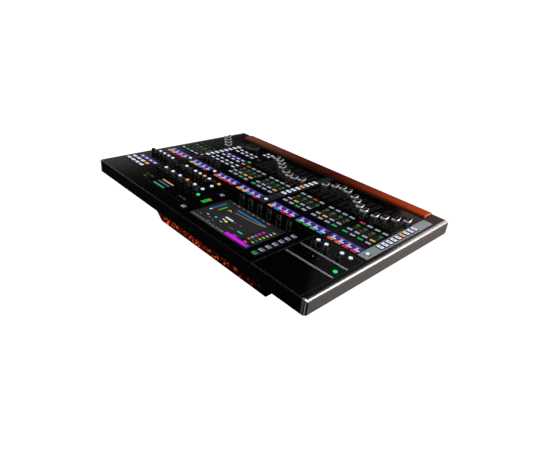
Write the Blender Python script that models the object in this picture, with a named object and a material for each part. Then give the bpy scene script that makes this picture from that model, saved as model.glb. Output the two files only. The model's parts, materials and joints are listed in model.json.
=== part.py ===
"""Digital mixing console: a thin tilted control slab on a flared lower chassis, as separate parts.

The desk top is z = 0, +X is the operator's right and +Y points away from the operator.
Places on the control surface are given in the slab's own frame: u to the right, v up the slope
towards the rear and w out of the surface, from the centre of the top surface.
Places on the rear wall are given as seen from behind: across to the right, and up from the desk.
All sizes are in millimetres. MM turns them into Blender's metres.
"""

import math
from collections import namedtuple

import bmesh
import bpy
from mathutils import Vector

MM = 0.001

# Slab: the wide control surface and its housing.
SLAB_WIDTH = 871.0
SLAB_DEPTH = 577.0
SLAB_THICKNESS = 38.0
SLAB_TILT = math.radians(7.4)
REAR_EDGE_HEIGHT = 174.0
SLAB_CENTRE_HEIGHT = REAR_EDGE_HEIGHT - SLAB_DEPTH / 2 * math.sin(SLAB_TILT)
SLAB_CENTRE_Y = -1.45
HALF_WIDTH = SLAB_WIDTH / 2
HALF_DEPTH = SLAB_DEPTH / 2
CHEEK_WIDTH = 12.0
CHEEK_CHAMFER = 6.0
GAP = 0.4

# Heights in the slab, from the top surface down.
DECK_BOTTOM = -3.0
MAT_TOP = -3.4
MAT_BOTTOM = -4.8
BOARD_TOP = -6.4
BOARD_BOTTOM = -8.0
ENCODER_BOARD_TOP = -10.0
ENCODER_BOARD_BOTTOM = -11.6
SHAFT_BOTTOM = -14.0
CARRIAGE_TOP = -13.0
CARRIAGE_BOTTOM = -19.0
FADER_FRAME_TOP = -24.0
FADER_FRAME_BOTTOM = -26.0
TRAY_FLOOR_TOP = -35.5
HULL_TOP = -SLAB_THICKNESS - GAP

# Wooden armrest along the front edge.
REST_LEFT = -385.0
REST_RIGHT = 376.0
REST_BACK = -248.3
REST_FRONT = -291.0
REST_TOP = 6.0
REST_ROUND = 10.0
REST_ROUND_STEPS = 5

# Channel strips: groups of four, each with a fader, keys, a meter and a share of a display.
STRIP_PITCH = 23.5
STRIPS_PER_GROUP = 4
LEFT_GROUPS = (-339.0, -233.5, -128.0)
CENTRE_GROUPS = (6.2, 112.0)
USER_GROUP = 240.0
MAIN_GROUP = 366.0
FADER_GROUPS = LEFT_GROUPS + CENTRE_GROUPS + (MAIN_GROUP,)
DISPLAY_GROUPS = LEFT_GROUPS + CENTRE_GROUPS + (USER_GROUP, MAIN_GROUP)
SELECT_V = 4.0
SOLO_V = -15.0
MUTE_V = -70.0
METER_V = -41.0
METER_SIZE = (10.0, 32.0)
DISPLAY_V = 43.0
DISPLAY_SIZE = (96.0, 20.0)
BAR_V = 61.0
BAR_SIZE = (19.0, 8.0)
KEY_SIZE = (17.5, 10.0)

# Faders: 100 mm of travel between the two ends.
FADER_TOP_V = -102.0
FADER_TRAVEL = 100.0
FADER_BOTTOM_V = FADER_TOP_V - FADER_TRAVEL
FADER_MIDDLE_V = (FADER_TOP_V + FADER_BOTTOM_V) / 2
CAP_WIDTH = 14.0
CAP_LENGTH = 27.0
CAP_BASE = 1.0
CAP_HEIGHT = 13.5
CAP_SCOOP = 4.0
STEM_WIDTH = 1.6
STEM_LENGTH = 8.0
SLOT_WIDTH = 3.0
SLOT_SPARE = 1.0
CARRIAGE_SIZE = (12.0, 16.0)
RAIL_WIDTH = 6.0
RAIL_TOP = -14.0

# Where the fader mix sits: a wave across the left and centre banks, a ramp on the main bank.
LEFT_WAVE = (-157.0, 34.5, 3.5, 10.75)
CENTRE_WAVE = (-157.0, 36.5, 1.4, 11.5)
MAIN_RAMP = (-133.0, -17.8)

# Key columns at the left, centre and right of the banks.
LEFT_COLUMN = -403.0
CENTRE_COLUMN = -57.5
RIGHT_COLUMN = 305.0
COLUMN_TOP_V = -6.0
COLUMN_PITCH = 19.3
COLUMN_KEYS = 9
COLUMN_KEY_SIZE = (19.0, 12.0)
ROUND_KEY_V = 45.0
ROUND_KEY_RADIUS = 5.5

# User section between the centre bank and the right column.
USER_COLUMN = 175.0
USER_COLUMN_VS = (-26.0, -44.0, -70.0, -96.0)
USER_GRID_US = (203.0, 227.0, 252.0, 276.0)
USER_UPPER_VS = (-25.0, -44.0)
USER_MIDDLE_V = -70.0
USER_LOWER_VS = (-131.0, -150.0)
USER_DISPLAY_V = -91.0
USER_DISPLAY_SIZE = (96.0, 16.0)
USER_KNOB_V = 12.0
USER_KNOB_PITCH = 24.0
TRANSPORT_US = (180.0, 199.0)
TRANSPORT_VS = (-186.0, -204.0)
TRANSPORT_KEY_SIZE = (14.0, 12.0)
JOG_PLACE = (262.0, -188.0)
JOG_RADIUS = 25.0
JOG_HEIGHT = 9.0

# Touch screen and its keys.
GLASS_BOX = (-267.0, 44.0, 82.0, 284.0)
SCREEN_BOX = (-223.0, -4.0, 130.0, 263.0)
SCREEN_KEY_U = -248.0
SCREEN_KEY_TOP_V = 256.0
SCREEN_KEY_PITCH = 20.8
SCREEN_KEYS = 7
SCREEN_KEY_SIZE = (16.0, 12.0)
CORNER_KEYS = ((27.0, 257.0), (25.0, 133.0))
SCREEN_METER = (24.0, 187.0, 15.0, 30.0)
SCREEN_KNOBS = 6
SCREEN_KNOB_PITCH = 36.0
SCREEN_KNOB_MIDDLE = -113.5
SCREEN_KNOB_V = 103.0

# Monitor section, an insert in the left rear of the deck.
BAY_BOX = (-416.0, -275.0, 84.0, 191.0)
BAY_BAR_VS = (187.0, 137.0)
BAY_BAR_BOX_U = (-415.0, -277.0)
BAY_BAR_WIDTH = 5.5
BAY_BAR_HEIGHT = 1.5
MONITOR_KNOB_US = (-374.0, -338.5, -303.0)
MONITOR_KNOB_V = 121.0
MONITOR_KEY_US = (-390.0, -365.0, -318.0, -293.0)
MONITOR_KEY_V = 92.0
TALK_KEY = (-404.0, 164.0)

# Channel strip section, to the right of the screen.
CHANNEL_KNOB_FIRST_U = 88.0
CHANNEL_KNOB_PITCH = 37.4
CHANNEL_TOP_KNOBS = 6
CHANNEL_LOW_KNOBS = 5
CHANNEL_TOP_V = 180.0
CHANNEL_LOW_FIRST_U = 126.0
CHANNEL_LOW_V = 120.0
CHANNEL_KEY_V = 153.0
CHANNEL_LOW_KEY_FIRST_U = 90.0
CHANNEL_LOW_KEY_PITCH = 23.2
CHANNEL_LOW_KEYS = 8
CHANNEL_LOW_KEY_V = 94.0
CHANNEL_SIDE_KEYS = ((65.0, 185.0), (90.0, 120.0))
CHANNEL_BARS = ((178.0, 238.0, 56.0, 9.0), (178.0, 222.0, 56.0, 9.0), (178.0, 208.0, 56.0, 9.0))
CHANNEL_LAMPS = ((252.0, 222.0, 44.0, 9.0), (257.0, 236.0, 26.0, 7.0), (75.0, 230.0, 40.0, 8.0))

# Custom controls at the right rear.
CUSTOM_US = (332.0, 356.0, 380.0, 404.0)
CUSTOM_KEY_VS = (205.0, 186.0)
CUSTOM_KEY_SIZE = (19.0, 11.0)
CUSTOM_DISPLAY = (365.0, 161.0, 98.0, 17.0)
CUSTOM_KNOB_V = 120.0
CUSTOM_ROUND_V = 94.0

# Keys and knobs.
KEY_BED = -0.6
KEY_TOP = 2.0
KNOB_RADIUS = 7.0
KNOB_HEIGHT = 15.5
KNOB_BASE = 0.6
SHAFT_RADIUS = 3.0
SHAFT_HOLE_RADIUS = 3.5
BOARD_SHAFT_HOLE_RADIUS = 4.2
TOWER_HOLE_RADIUS = 7.5
KNOB_SEGMENTS = 10
HOLE_SEGMENTS = 8
TOWER_SEGMENTS = 10

# Lower chassis, under the slab, with the connector wall at the rear.
HULL_BOTTOM_HALF_WIDTH = 238.0
HULL_TOP_HALF_WIDTH = 340.0
HULL_FRONT_Y = -150.0
HULL_REAR_Y = 213.0
HULL_BOTTOM_Z = 8.0
HULL_FRONT_TOP_V = -228.0
HULL_WALL = 2.4
OPENING_LOW = (226.0, 18.0)
OPENING_HIGH = (310.0, 116.0)
PANEL_OVERLAP = 5.0
PANEL_THICKNESS = 2.0
FOOT_RADIUS = 12.0
FOOT_PLACES = ((-208.0, -126.0), (208.0, -126.0), (-208.0, 188.0), (208.0, 188.0))

# Rear connectors, in the rear wall's frame.
XLR_RADIUS = 11.5
XLR_PITCH = 38.0
XLR_COUNT = 8
XLR_FIRST = -146.0
XLR_ROWS = (96.0, 58.0)
JACK_RADIUS = 5.0
JACK_ROW = 28.0
PORT_SIZE = (16.0, 14.0)
PORT_PLACES = ((-232.0, 96.0), (-208.0, 96.0), (-184.0, 96.0), (-208.0, 58.0), (-184.0, 58.0))
INLET_PLACE = (196.0, 66.0)
INLET_SIZE = (48.0, 28.0)
SWITCH_PLACE = (196.0, 98.0)
SWITCH_SIZE = (21.0, 13.0)
SWITCH_REST_TILT = math.radians(7.0)
CONNECTOR_DEPTH = 16.0

Step = namedtuple("Step", "outline height inner")
THROUGH = None


# Outlines -------------------------------------------------------------------------------------

def box_outline(left, right, low, high):
    """The corners of a rectangle, anticlockwise."""
    return [(left, low), (right, low), (right, high), (left, high)]


def centred(across, along, width, depth):
    """A rectangle around a centre."""
    return box_outline(across - width / 2, across + width / 2, along - depth / 2, along + depth / 2)


def circle(across, along, radius, segments=HOLE_SEGMENTS):
    """A regular polygon that stands for a circle."""
    turns = [2 * math.pi * (index + 0.5) / segments for index in range(segments)]
    return [(across + radius * math.cos(turn), along + radius * math.sin(turn)) for turn in turns]


def spread(middle, pitch, count):
    """Places at an even pitch around a middle."""
    return [middle + pitch * (index - (count - 1) / 2) for index in range(count)]


def step(outline, height, inner=()):
    """A raised pad or a pocket, or a hole when height is THROUGH, with its own inner steps."""
    return Step(outline, height, tuple(inner))


def holes(outlines):
    """A hole for each outline."""
    return [step(outline, THROUGH) for outline in outlines]


# Mesh building --------------------------------------------------------------------------------

def ring(mesh, outline, height):
    """The outline's points as vertices at one height."""
    return [mesh.verts.new((x * MM, y * MM, height * MM)) for x, y in outline]


def wall(mesh, low, high):
    """The faces that join two rings of the same length."""
    for index in range(len(low)):
        mesh.faces.new((low[index - 1], low[index], high[index], high[index - 1]))


def cap(mesh, loops):
    """A flat face inside the first loop, with the other loops left open in it."""
    if len(loops) == 1:
        mesh.faces.new(loops[0])
        return
    edges = []
    for loop in loops:
        for index in range(len(loop)):
            pair = (loop[index - 1], loop[index])
            edges.append(mesh.edges.get(pair) or mesh.edges.new(pair))
    bmesh.ops.triangle_fill(mesh, use_beauty=True, edges=edges)


def grow(mesh, base, height, steps, bottom, shafts):
    """Close the face inside base, and raise or sink each step from it.

    A hole runs down to the bottom height, and its lower ring is added to shafts.
    """
    loops = [base]
    for outline, step_height, inner in steps:
        foot = ring(mesh, outline, height)
        loops.append(foot)
        if step_height is THROUGH:
            end = ring(mesh, outline, bottom)
            wall(mesh, foot, end)
            shafts.append(end)
        else:
            head = ring(mesh, outline, step_height)
            wall(mesh, foot, head)
            grow(mesh, head, step_height, inner, bottom, shafts)
    cap(mesh, loops)


def stepped_mesh(outline, bottom, top, steps=(), below=()):
    """A plate with steps on its top face and, on its bottom face, steps that reach down."""
    mesh = bmesh.new()
    low = ring(mesh, outline, bottom)
    high = ring(mesh, outline, top)
    wall(mesh, low, high)
    shafts = []
    grow(mesh, high, top, steps, bottom, shafts)
    loops = [low] + shafts
    for foot_outline, foot_height, _ in below:
        root = ring(mesh, foot_outline, bottom)
        tip = ring(mesh, foot_outline, foot_height)
        wall(mesh, root, tip)
        cap(mesh, [tip])
        loops.append(root)
    cap(mesh, loops)
    return mesh


def turned_mesh(profile, segments=KNOB_SEGMENTS):
    """A solid of revolution about local Z, from (radius, height) pairs listed from the bottom up."""
    mesh = bmesh.new()
    rings = [ring(mesh, circle(0.0, 0.0, radius, segments), height) for radius, height in profile]
    for low, high in zip(rings, rings[1:]):
        wall(mesh, low, high)
    cap(mesh, [rings[0]])
    cap(mesh, [rings[-1]])
    return mesh


def prism_mesh(profile, start, end, axis):
    """A profile in the plane across an axis, pushed along it. axis is 0 for u and 1 for v."""
    mesh = bmesh.new()
    ends = []
    for along in (start, end):
        points = []
        for across, height in profile:
            spot = (along, across, height) if axis == 0 else (across, along, height)
            points.append(mesh.verts.new(Vector(spot) * MM))
        ends.append(points)
    wall(mesh, ends[0], ends[1])
    cap(mesh, [ends[0]])
    cap(mesh, [ends[1]])
    return mesh


# Objects --------------------------------------------------------------------------------------

def material(name, colour, roughness, metallic=0.0):
    """A Principled material."""
    made = bpy.data.materials.new(name)
    made.use_nodes = True
    shader = made.node_tree.nodes["Principled BSDF"]
    shader.inputs["Base Color"].default_value = (*colour, 1.0)
    shader.inputs["Roughness"].default_value = roughness
    shader.inputs["Metallic"].default_value = metallic
    return made


def finish(mesh, name, frame=None, place=(0.0, 0.0, 0.0), look=None, smooth=False):
    """Turn a bmesh into a named object, placed in its frame, with its material."""
    bmesh.ops.recalc_face_normals(mesh, faces=mesh.faces)
    data = bpy.data.meshes.new(name)
    mesh.to_mesh(data)
    mesh.free()
    if smooth:
        data.shade_smooth()
        data.set_sharp_from_angle(angle=math.radians(40.0))
    made = bpy.data.objects.new(name, data)
    bpy.context.collection.objects.link(made)
    made.parent = frame
    made.location = Vector(place) * MM
    if look:
        data.materials.append(look)
    return made


def new_frame(name, place, turn):
    """An empty that carries a local frame."""
    made = bpy.data.objects.new(name, None)
    bpy.context.collection.objects.link(made)
    made.location = Vector(place) * MM
    made.rotation_euler = turn
    return made


def slab_point(u, v, w):
    """A place in the slab's frame, in the desk's frame."""
    rise = math.sin(SLAB_TILT)
    run = math.cos(SLAB_TILT)
    return Vector((u, SLAB_CENTRE_Y + v * run - w * rise, SLAB_CENTRE_HEIGHT + v * rise + w * run))


# Layout of the control surface ------------------------------------------------------------------

def strip_us(group):
    """The strips of one group, left to right."""
    return spread(group, STRIP_PITCH, STRIPS_PER_GROUP)


def key_window(us, vs, size, margin=2.0):
    """One opening around a block of keys, with the keys in it."""
    window = box_outline(
        min(us) - size[0] / 2 - margin,
        max(us) + size[0] / 2 + margin,
        min(vs) - size[1] / 2 - margin,
        max(vs) + size[1] / 2 + margin,
    )
    keys = [centred(u, v, *size) for u in us for v in vs]
    return window, keys


def round_window(u, v):
    """An opening with one round key in it."""
    return circle(u, v, ROUND_KEY_RADIUS + 1.2), [circle(u, v, ROUND_KEY_RADIUS)]


def round_row_window(us, v):
    """One long opening around a row of round keys."""
    reach = ROUND_KEY_RADIUS + 1.0
    window = box_outline(min(us) - reach, max(us) + reach, v - reach, v + reach)
    return window, [circle(u, v, ROUND_KEY_RADIUS) for u in us]


def column_windows(u):
    """The key column beside a bank, with its round key."""
    vs = [COLUMN_TOP_V - COLUMN_PITCH * index for index in range(COLUMN_KEYS)]
    return [key_window([u], vs, COLUMN_KEY_SIZE), round_window(u, ROUND_KEY_V)]


def group_windows(group):
    """The select, solo and mute keys of one group."""
    us = strip_us(group)
    return [
        key_window(us, [SELECT_V, SOLO_V], KEY_SIZE),
        key_window(us, [MUTE_V], KEY_SIZE),
    ]


def bank_windows(column, groups):
    """Every key opening of a bank: its column and its groups."""
    windows = column_windows(column)
    for group in groups:
        windows += group_windows(group)
    return windows


def user_windows():
    """The key openings of the user section."""
    windows = [round_window(USER_COLUMN, ROUND_KEY_V)]
    windows.append(key_window([USER_COLUMN], USER_COLUMN_VS, KEY_SIZE))
    windows.append(key_window(USER_GRID_US, USER_UPPER_VS, KEY_SIZE))
    windows.append(key_window(USER_GRID_US, [USER_MIDDLE_V], KEY_SIZE))
    windows.append(key_window(USER_GRID_US, USER_LOWER_VS, KEY_SIZE))
    windows.append(key_window([USER_COLUMN], [-138.0], KEY_SIZE))
    windows.append(key_window(TRANSPORT_US, TRANSPORT_VS, TRANSPORT_KEY_SIZE))
    return windows


def screen_windows():
    """The key openings in the screen glass."""
    vs = [SCREEN_KEY_TOP_V - SCREEN_KEY_PITCH * index for index in range(SCREEN_KEYS)]
    windows = [key_window([SCREEN_KEY_U], vs, SCREEN_KEY_SIZE)]
    windows += [key_window([u], [v], SCREEN_KEY_SIZE) for u, v in CORNER_KEYS]
    return windows


def monitor_windows():
    """The round keys of the monitor section."""
    pairs = (MONITOR_KEY_US[:2], MONITOR_KEY_US[2:])
    windows = [round_row_window(pair, MONITOR_KEY_V) for pair in pairs]
    windows.append(round_window(*TALK_KEY))
    return windows


def channel_windows():
    """The round keys of the channel strip section and the custom controls."""
    top_us = [CHANNEL_KNOB_FIRST_U + CHANNEL_KNOB_PITCH * i for i in range(CHANNEL_TOP_KNOBS)]
    low_us = [CHANNEL_LOW_KEY_FIRST_U + CHANNEL_LOW_KEY_PITCH * i for i in range(CHANNEL_LOW_KEYS)]
    windows = [round_row_window(top_us, CHANNEL_KEY_V)]
    windows.append(round_row_window(low_us, CHANNEL_LOW_KEY_V))
    windows += [round_window(u, v) for u, v in CHANNEL_SIDE_KEYS]
    windows.append(round_row_window(CUSTOM_US, CUSTOM_ROUND_V))
    windows.append(key_window(CUSTOM_US, CUSTOM_KEY_VS, CUSTOM_KEY_SIZE))
    return windows


def channel_knob_places():
    """The encoders of the channel strip section."""
    top = [(CHANNEL_KNOB_FIRST_U + CHANNEL_KNOB_PITCH * i, CHANNEL_TOP_V) for i in range(CHANNEL_TOP_KNOBS)]
    low = [(CHANNEL_LOW_FIRST_U + CHANNEL_KNOB_PITCH * i, CHANNEL_LOW_V) for i in range(CHANNEL_LOW_KNOBS)]
    return top + low


def right_knob_places():
    """The encoders of the custom controls and of the user section."""
    custom = [(u, CUSTOM_KNOB_V) for u in CUSTOM_US]
    user = [(u, USER_KNOB_V) for u in spread(USER_GROUP, USER_KNOB_PITCH, 4)]
    return custom + user


def tower_windows():
    """Openings in the display board around each row of encoder knobs."""
    rows = {}
    for u, v in channel_knob_places() + right_knob_places():
        in_custom = u > RIGHT_COLUMN
        rows.setdefault((v, in_custom), []).append(u)
    width = 2 * TOWER_HOLE_RADIUS
    windows = []
    for (v, _), us in rows.items():
        windows.append(centred((min(us) + max(us)) / 2, v, max(us) - min(us) + width, width))
    return windows


def screen_knob_places():
    """The knobs under the screen."""
    return [(u, SCREEN_KNOB_V) for u in spread(SCREEN_KNOB_MIDDLE, SCREEN_KNOB_PITCH, SCREEN_KNOBS)]


def monitor_knob_places():
    """The knobs of the monitor section."""
    return [(u, MONITOR_KNOB_V) for u in MONITOR_KNOB_US]


def fader_places():
    """Each fader's u and its rest v, left to right."""
    us = [u for group in FADER_GROUPS for u in strip_us(group)]
    places = []
    for index, u in enumerate(us):
        if index < 12:
            middle, swing, phase, period = LEFT_WAVE
            v = middle + swing * math.cos(2 * math.pi * (index - phase) / period)
        elif index < 20:
            middle, swing, phase, period = CENTRE_WAVE
            v = middle + swing * math.cos(2 * math.pi * (index - 12 - phase) / period)
        else:
            first, change = MAIN_RAMP
            v = first + change * (index - 20)
        places.append((u, v))
    return places


def meter_window(group):
    """The opening over the meters of one group."""
    width = STRIP_PITCH * (STRIPS_PER_GROUP - 1) + METER_SIZE[0] + 3.0
    return centred(group, METER_V, width, METER_SIZE[1] + 2.0)


def display_window(group):
    """The opening over the display and the colour bars of one group."""
    low = DISPLAY_V - DISPLAY_SIZE[1] / 2 - 1.0
    high = BAR_V + BAR_SIZE[1] / 2 + 1.0
    return box_outline(group - DISPLAY_SIZE[0] / 2, group + DISPLAY_SIZE[0] / 2, low, high)


def lone_displays():
    """The displays that belong to no group: across, along, width and depth."""
    user = (USER_GROUP - 1.0, USER_DISPLAY_V) + USER_DISPLAY_SIZE
    return (user, CUSTOM_DISPLAY) + CHANNEL_BARS + CHANNEL_LAMPS


def shrink(outline, by=GAP):
    """The outline of what stands in an opening, clear of its edges."""
    middle = [sum(point[k] for point in outline) / len(outline) for k in (0, 1)]
    if len(outline) > 4:
        radius = math.dist(outline[0], middle)
        scale = (radius - by) / radius
        return [tuple(middle[k] + (p[k] - middle[k]) * scale for k in (0, 1)) for p in outline]
    return [tuple(p[k] - math.copysign(by, p[k] - middle[k]) for k in (0, 1)) for p in outline]


# Slab parts -------------------------------------------------------------------------------------

def slab_outline(inset=0.0):
    """The slab between its cheeks, with the notch that the armrest fills."""
    side = HALF_WIDTH - CHEEK_WIDTH - GAP - inset
    rear = HALF_DEPTH - inset
    front = -HALF_DEPTH + inset
    notch = REST_BACK + GAP + inset
    left = REST_LEFT - GAP - inset
    right = REST_RIGHT + GAP + inset
    return [
        (-side, front), (left, front), (left, notch), (right, notch),
        (right, front), (side, front), (side, rear), (-side, rear),
    ]


def make_top_deck(frame, look):
    """The control surface plate, cut out for everything that comes up through it."""
    openings = [window for window, _ in bank_windows(LEFT_COLUMN, LEFT_GROUPS)]
    openings += [window for window, _ in bank_windows(CENTRE_COLUMN, CENTRE_GROUPS)]
    openings += [window for window, _ in bank_windows(RIGHT_COLUMN, (MAIN_GROUP,))]
    openings += [window for window, _ in user_windows() + channel_windows()]
    openings += [display_window(group) for group in DISPLAY_GROUPS]
    openings += [meter_window(group) for group in LEFT_GROUPS + CENTRE_GROUPS + (MAIN_GROUP,)]
    openings += [centred(*display) for display in lone_displays()]
    openings += [circle(u, v, TOWER_HOLE_RADIUS, TOWER_SEGMENTS) for u, v in channel_knob_places()]
    openings += [circle(u, v, TOWER_HOLE_RADIUS, TOWER_SEGMENTS) for u, v in right_knob_places()]
    openings.append(circle(*JOG_PLACE, SHAFT_HOLE_RADIUS))
    openings += [box_outline(*GLASS_BOX), box_outline(*BAY_BOX)]
    slot_length = FADER_TRAVEL + STEM_LENGTH + 2 * SLOT_SPARE
    openings += [centred(u, FADER_MIDDLE_V, SLOT_WIDTH, slot_length) for u, _ in fader_places()]
    mesh = stepped_mesh(slab_outline(), DECK_BOTTOM, 0.0, holes(openings))
    return finish(mesh, "top_deck", frame, look=look)


def make_cheek(frame, side, name, look):
    """An end cheek: a bar with its outer top edge and its outer rear corner cut at 45 degrees."""
    inner = HALF_WIDTH - CHEEK_WIDTH
    outer = HALF_WIDTH
    slope = CHEEK_CHAMFER
    front = [(side * inner, -HALF_DEPTH), (side * outer, -HALF_DEPTH)]
    corner = [(side * outer, HALF_DEPTH - slope), (side * (outer - slope), HALF_DEPTH)]
    outline = front + corner + [(side * inner, HALF_DEPTH)]
    mesh = bmesh.new()
    low = ring(mesh, outline, -SLAB_THICKNESS)
    middle = ring(mesh, outline, -slope)
    top = ring(mesh, [(side * min(abs(u), outer - slope), v) for u, v in outline], 0.0)
    wall(mesh, low, middle)
    wall(mesh, middle, top)
    cap(mesh, [low])
    cap(mesh, [top])
    return finish(mesh, name, frame, look=look)


def make_slab_tray(frame, look):
    """The open-topped tray under the deck, with an opening in its floor for the cable looms."""
    pocket = slab_outline(inset=3.0)
    loom_opening = box_outline(-150.0, 150.0, -60.0, 150.0)
    pocket_step = step(pocket, TRAY_FLOOR_TOP, holes([loom_opening]))
    top = DECK_BOTTOM - GAP
    mesh = stepped_mesh(slab_outline(), -SLAB_THICKNESS, top, [pocket_step])
    return finish(mesh, "slab_tray", frame, look=look)


def make_armrest(frame, look):
    """The wooden rest: square at the back, rounded over at the front."""
    profile = [(REST_FRONT, -SLAB_THICKNESS), (REST_BACK, -SLAB_THICKNESS), (REST_BACK, REST_TOP)]
    for index in range(REST_ROUND_STEPS + 1):
        turn = math.pi / 2 * (1 + index / REST_ROUND_STEPS)
        across = REST_FRONT + REST_ROUND + REST_ROUND * math.cos(turn)
        profile.append((across, REST_TOP - REST_ROUND + REST_ROUND * math.sin(turn)))
    mesh = prism_mesh(profile, REST_LEFT, REST_RIGHT, axis=0)
    return finish(mesh, "wood_armrest", frame, look=look, smooth=True)


def make_screen_glass(frame, look):
    """The glass over the touch screen, with openings for the keys and the knob shafts."""
    openings = [window for window, _ in screen_windows()]
    openings += [circle(u, v, SHAFT_HOLE_RADIUS) for u, v in screen_knob_places()]
    outline = shrink(box_outline(*GLASS_BOX))
    mesh = stepped_mesh(outline, DECK_BOTTOM + 0.2, 0.2, holes(openings))
    return finish(mesh, "screen_glass", frame, look=look)


def make_monitor_bay(frame, look):
    """The monitor insert: a plate with two metal ridges, flush in the deck."""
    openings = [window for window, _ in monitor_windows()]
    openings += [circle(u, v, SHAFT_HOLE_RADIUS) for u, v in monitor_knob_places()]
    left, right = BAY_BAR_BOX_U
    half = BAY_BAR_WIDTH / 2
    ridges = [step(box_outline(left, right, v - half, v + half), BAY_BAR_HEIGHT) for v in BAY_BAR_VS]
    outline = shrink(box_outline(*BAY_BOX))
    mesh = stepped_mesh(outline, DECK_BOTTOM, 0.0, holes(openings) + ridges)
    return finish(mesh, "monitor_bay", frame, look=look)


def make_key_mat(frame, name, web, windows, look, clear=()):
    """A moulded mat: a web under the deck, a bed in each opening and the keys on the beds."""
    beds = []
    for window, keys in windows:
        beds.append(step(shrink(window), KEY_BED, [step(key, KEY_TOP) for key in keys]))
    mesh = stepped_mesh(web, MAT_BOTTOM, MAT_TOP, beds + holes(clear))
    return finish(mesh, name, frame, look=look)


def make_key_mats(frame, look):
    """The five key mats."""
    low = -172.0
    bottom = -79.0
    top = 12.5
    head = 54.0
    left_web = [
        (-416, low), (-390, low), (-390, bottom), (-80, bottom),
        (-80, top), (-390, top), (-390, head), (-416, head),
    ]
    make_key_mat(
        frame, "left_bank_keys", left_web, bank_windows(LEFT_COLUMN, LEFT_GROUPS), look,
        [meter_window(group) for group in LEFT_GROUPS],
    )
    centre_web = [
        (-71, low), (-44, low), (-44, bottom), (160, bottom),
        (160, top), (-44, top), (-44, head), (-71, head),
    ]
    make_key_mat(
        frame, "centre_bank_keys", centre_web, bank_windows(CENTRE_COLUMN, CENTRE_GROUPS), look,
        [meter_window(group) for group in CENTRE_GROUPS],
    )
    right_web = [
        (163, -222), (213, -222), (213, low), (318, low), (318, bottom), (413, bottom), (413, top),
        (318, top), (318, head), (291, head), (291, -14), (187, -14), (187, head), (163, head),
    ]
    user_display = (USER_GROUP - 1.0, USER_DISPLAY_V) + USER_DISPLAY_SIZE
    make_key_mat(
        frame, "right_bank_keys", right_web,
        bank_windows(RIGHT_COLUMN, (MAIN_GROUP,)) + user_windows(), look,
        [meter_window(MAIN_GROUP), centred(*user_display)],
    )
    upper_left_web = [
        (-412, 84), (-237, 84), (-237, 265), (12, 265), (12, 124), (40, 124),
        (40, 277), (-260, 277), (-260, 100), (-395, 100), (-395, 173), (-412, 173),
    ]
    make_key_mat(
        frame, "screen_and_monitor_keys", upper_left_web, screen_windows() + monitor_windows(), look,
        [centred(SCREEN_METER[0], SCREEN_METER[1], SCREEN_METER[2] + 2.0, SCREEN_METER[3] + 2.0)],
    )
    upper_right_web = [
        (55, 85), (413, 85), (413, 103), (312, 103), (312, 176), (417, 176), (417, 214),
        (300, 214), (300, 161), (78, 161), (78, 193), (55, 193),
    ]
    make_key_mat(
        frame, "channel_and_custom_keys", upper_right_web, channel_windows(), look,
        [box_outline(99, 300, 103, 145)],
    )


def make_display_board(frame, look):
    """The board that carries every display, colour bar and meter, raised into the deck's openings."""
    outline = [
        (-388, -60), (188, -60), (188, -103), (290, -103), (290, -60), (414, -60),
        (414, 272), (-400, 272), (-400, 200), (-388, 200),
    ]
    steps = []
    for group in DISPLAY_GROUPS:
        bars = [step(centred(u, BAR_V, *BAR_SIZE), 0.3) for u in strip_us(group)]
        steps.append(step(shrink(display_window(group)), -0.3, bars))
    for group in LEFT_GROUPS + CENTRE_GROUPS + (MAIN_GROUP,):
        meters = [step(centred(u, METER_V, *METER_SIZE), 0.2) for u in strip_us(group)]
        steps.append(step(shrink(meter_window(group)), -0.4, meters))
    steps += [step(shrink(centred(*display)), -0.2) for display in lone_displays()]
    steps.append(step(box_outline(*SCREEN_BOX), -3.3))
    steps.append(step(centred(*SCREEN_METER), -3.3))
    shaft_places = screen_knob_places() + monitor_knob_places()
    steps += holes([circle(u, v, BOARD_SHAFT_HOLE_RADIUS) for u, v in shaft_places])
    steps += holes(tower_windows())
    mesh = stepped_mesh(outline, BOARD_BOTTOM, BOARD_TOP, steps)
    return finish(mesh, "display_board", frame, look=look)


def make_encoder_bank(frame, name, outline, places, look):
    """An encoder board with its knobs, which come up through the deck."""
    towers = [step(circle(u, v, KNOB_RADIUS, TOWER_SEGMENTS), KNOB_HEIGHT) for u, v in places]
    mesh = stepped_mesh(outline, ENCODER_BOARD_BOTTOM, ENCODER_BOARD_TOP, towers)
    return finish(mesh, name, frame, look=look)


def make_encoder_banks(frame, look):
    """The channel encoders, and the custom and user encoders on one L-shaped board."""
    channel_outline = box_outline(76, 290, 108, 192)
    make_encoder_bank(frame, "channel_encoders", channel_outline, channel_knob_places(), look)
    right_outline = [(192, 0), (312, 0), (312, 108), (416, 108), (416, 132), (296, 132), (296, 24), (192, 24)]
    make_encoder_bank(frame, "custom_and_user_encoders", right_outline, right_knob_places(), look)


def make_knob(frame, name, place, look):
    """A knob on its shaft, with its origin on the shaft's axis at the deck."""
    profile = [
        (SHAFT_RADIUS, SHAFT_BOTTOM), (SHAFT_RADIUS, KNOB_BASE), (KNOB_RADIUS, KNOB_BASE),
        (KNOB_RADIUS - 0.8, KNOB_HEIGHT),
    ]
    return finish(turned_mesh(profile), name, frame, (*place, 0.0), look, smooth=True)


def make_jog_wheel(frame, look):
    """The jog wheel: a low dished disc on a shaft."""
    profile = [
        (SHAFT_RADIUS, SHAFT_BOTTOM), (SHAFT_RADIUS, KNOB_BASE), (JOG_RADIUS, KNOB_BASE),
        (JOG_RADIUS, JOG_HEIGHT - 1.5), (JOG_RADIUS - 1.5, JOG_HEIGHT), (JOG_RADIUS - 5.0, JOG_HEIGHT),
        (JOG_RADIUS - 8.0, JOG_HEIGHT - 2.0),
    ]
    mesh = turned_mesh(profile, segments=20)
    return finish(mesh, "jog_wheel", frame, (*JOG_PLACE, 0.0), look, smooth=True)


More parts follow.
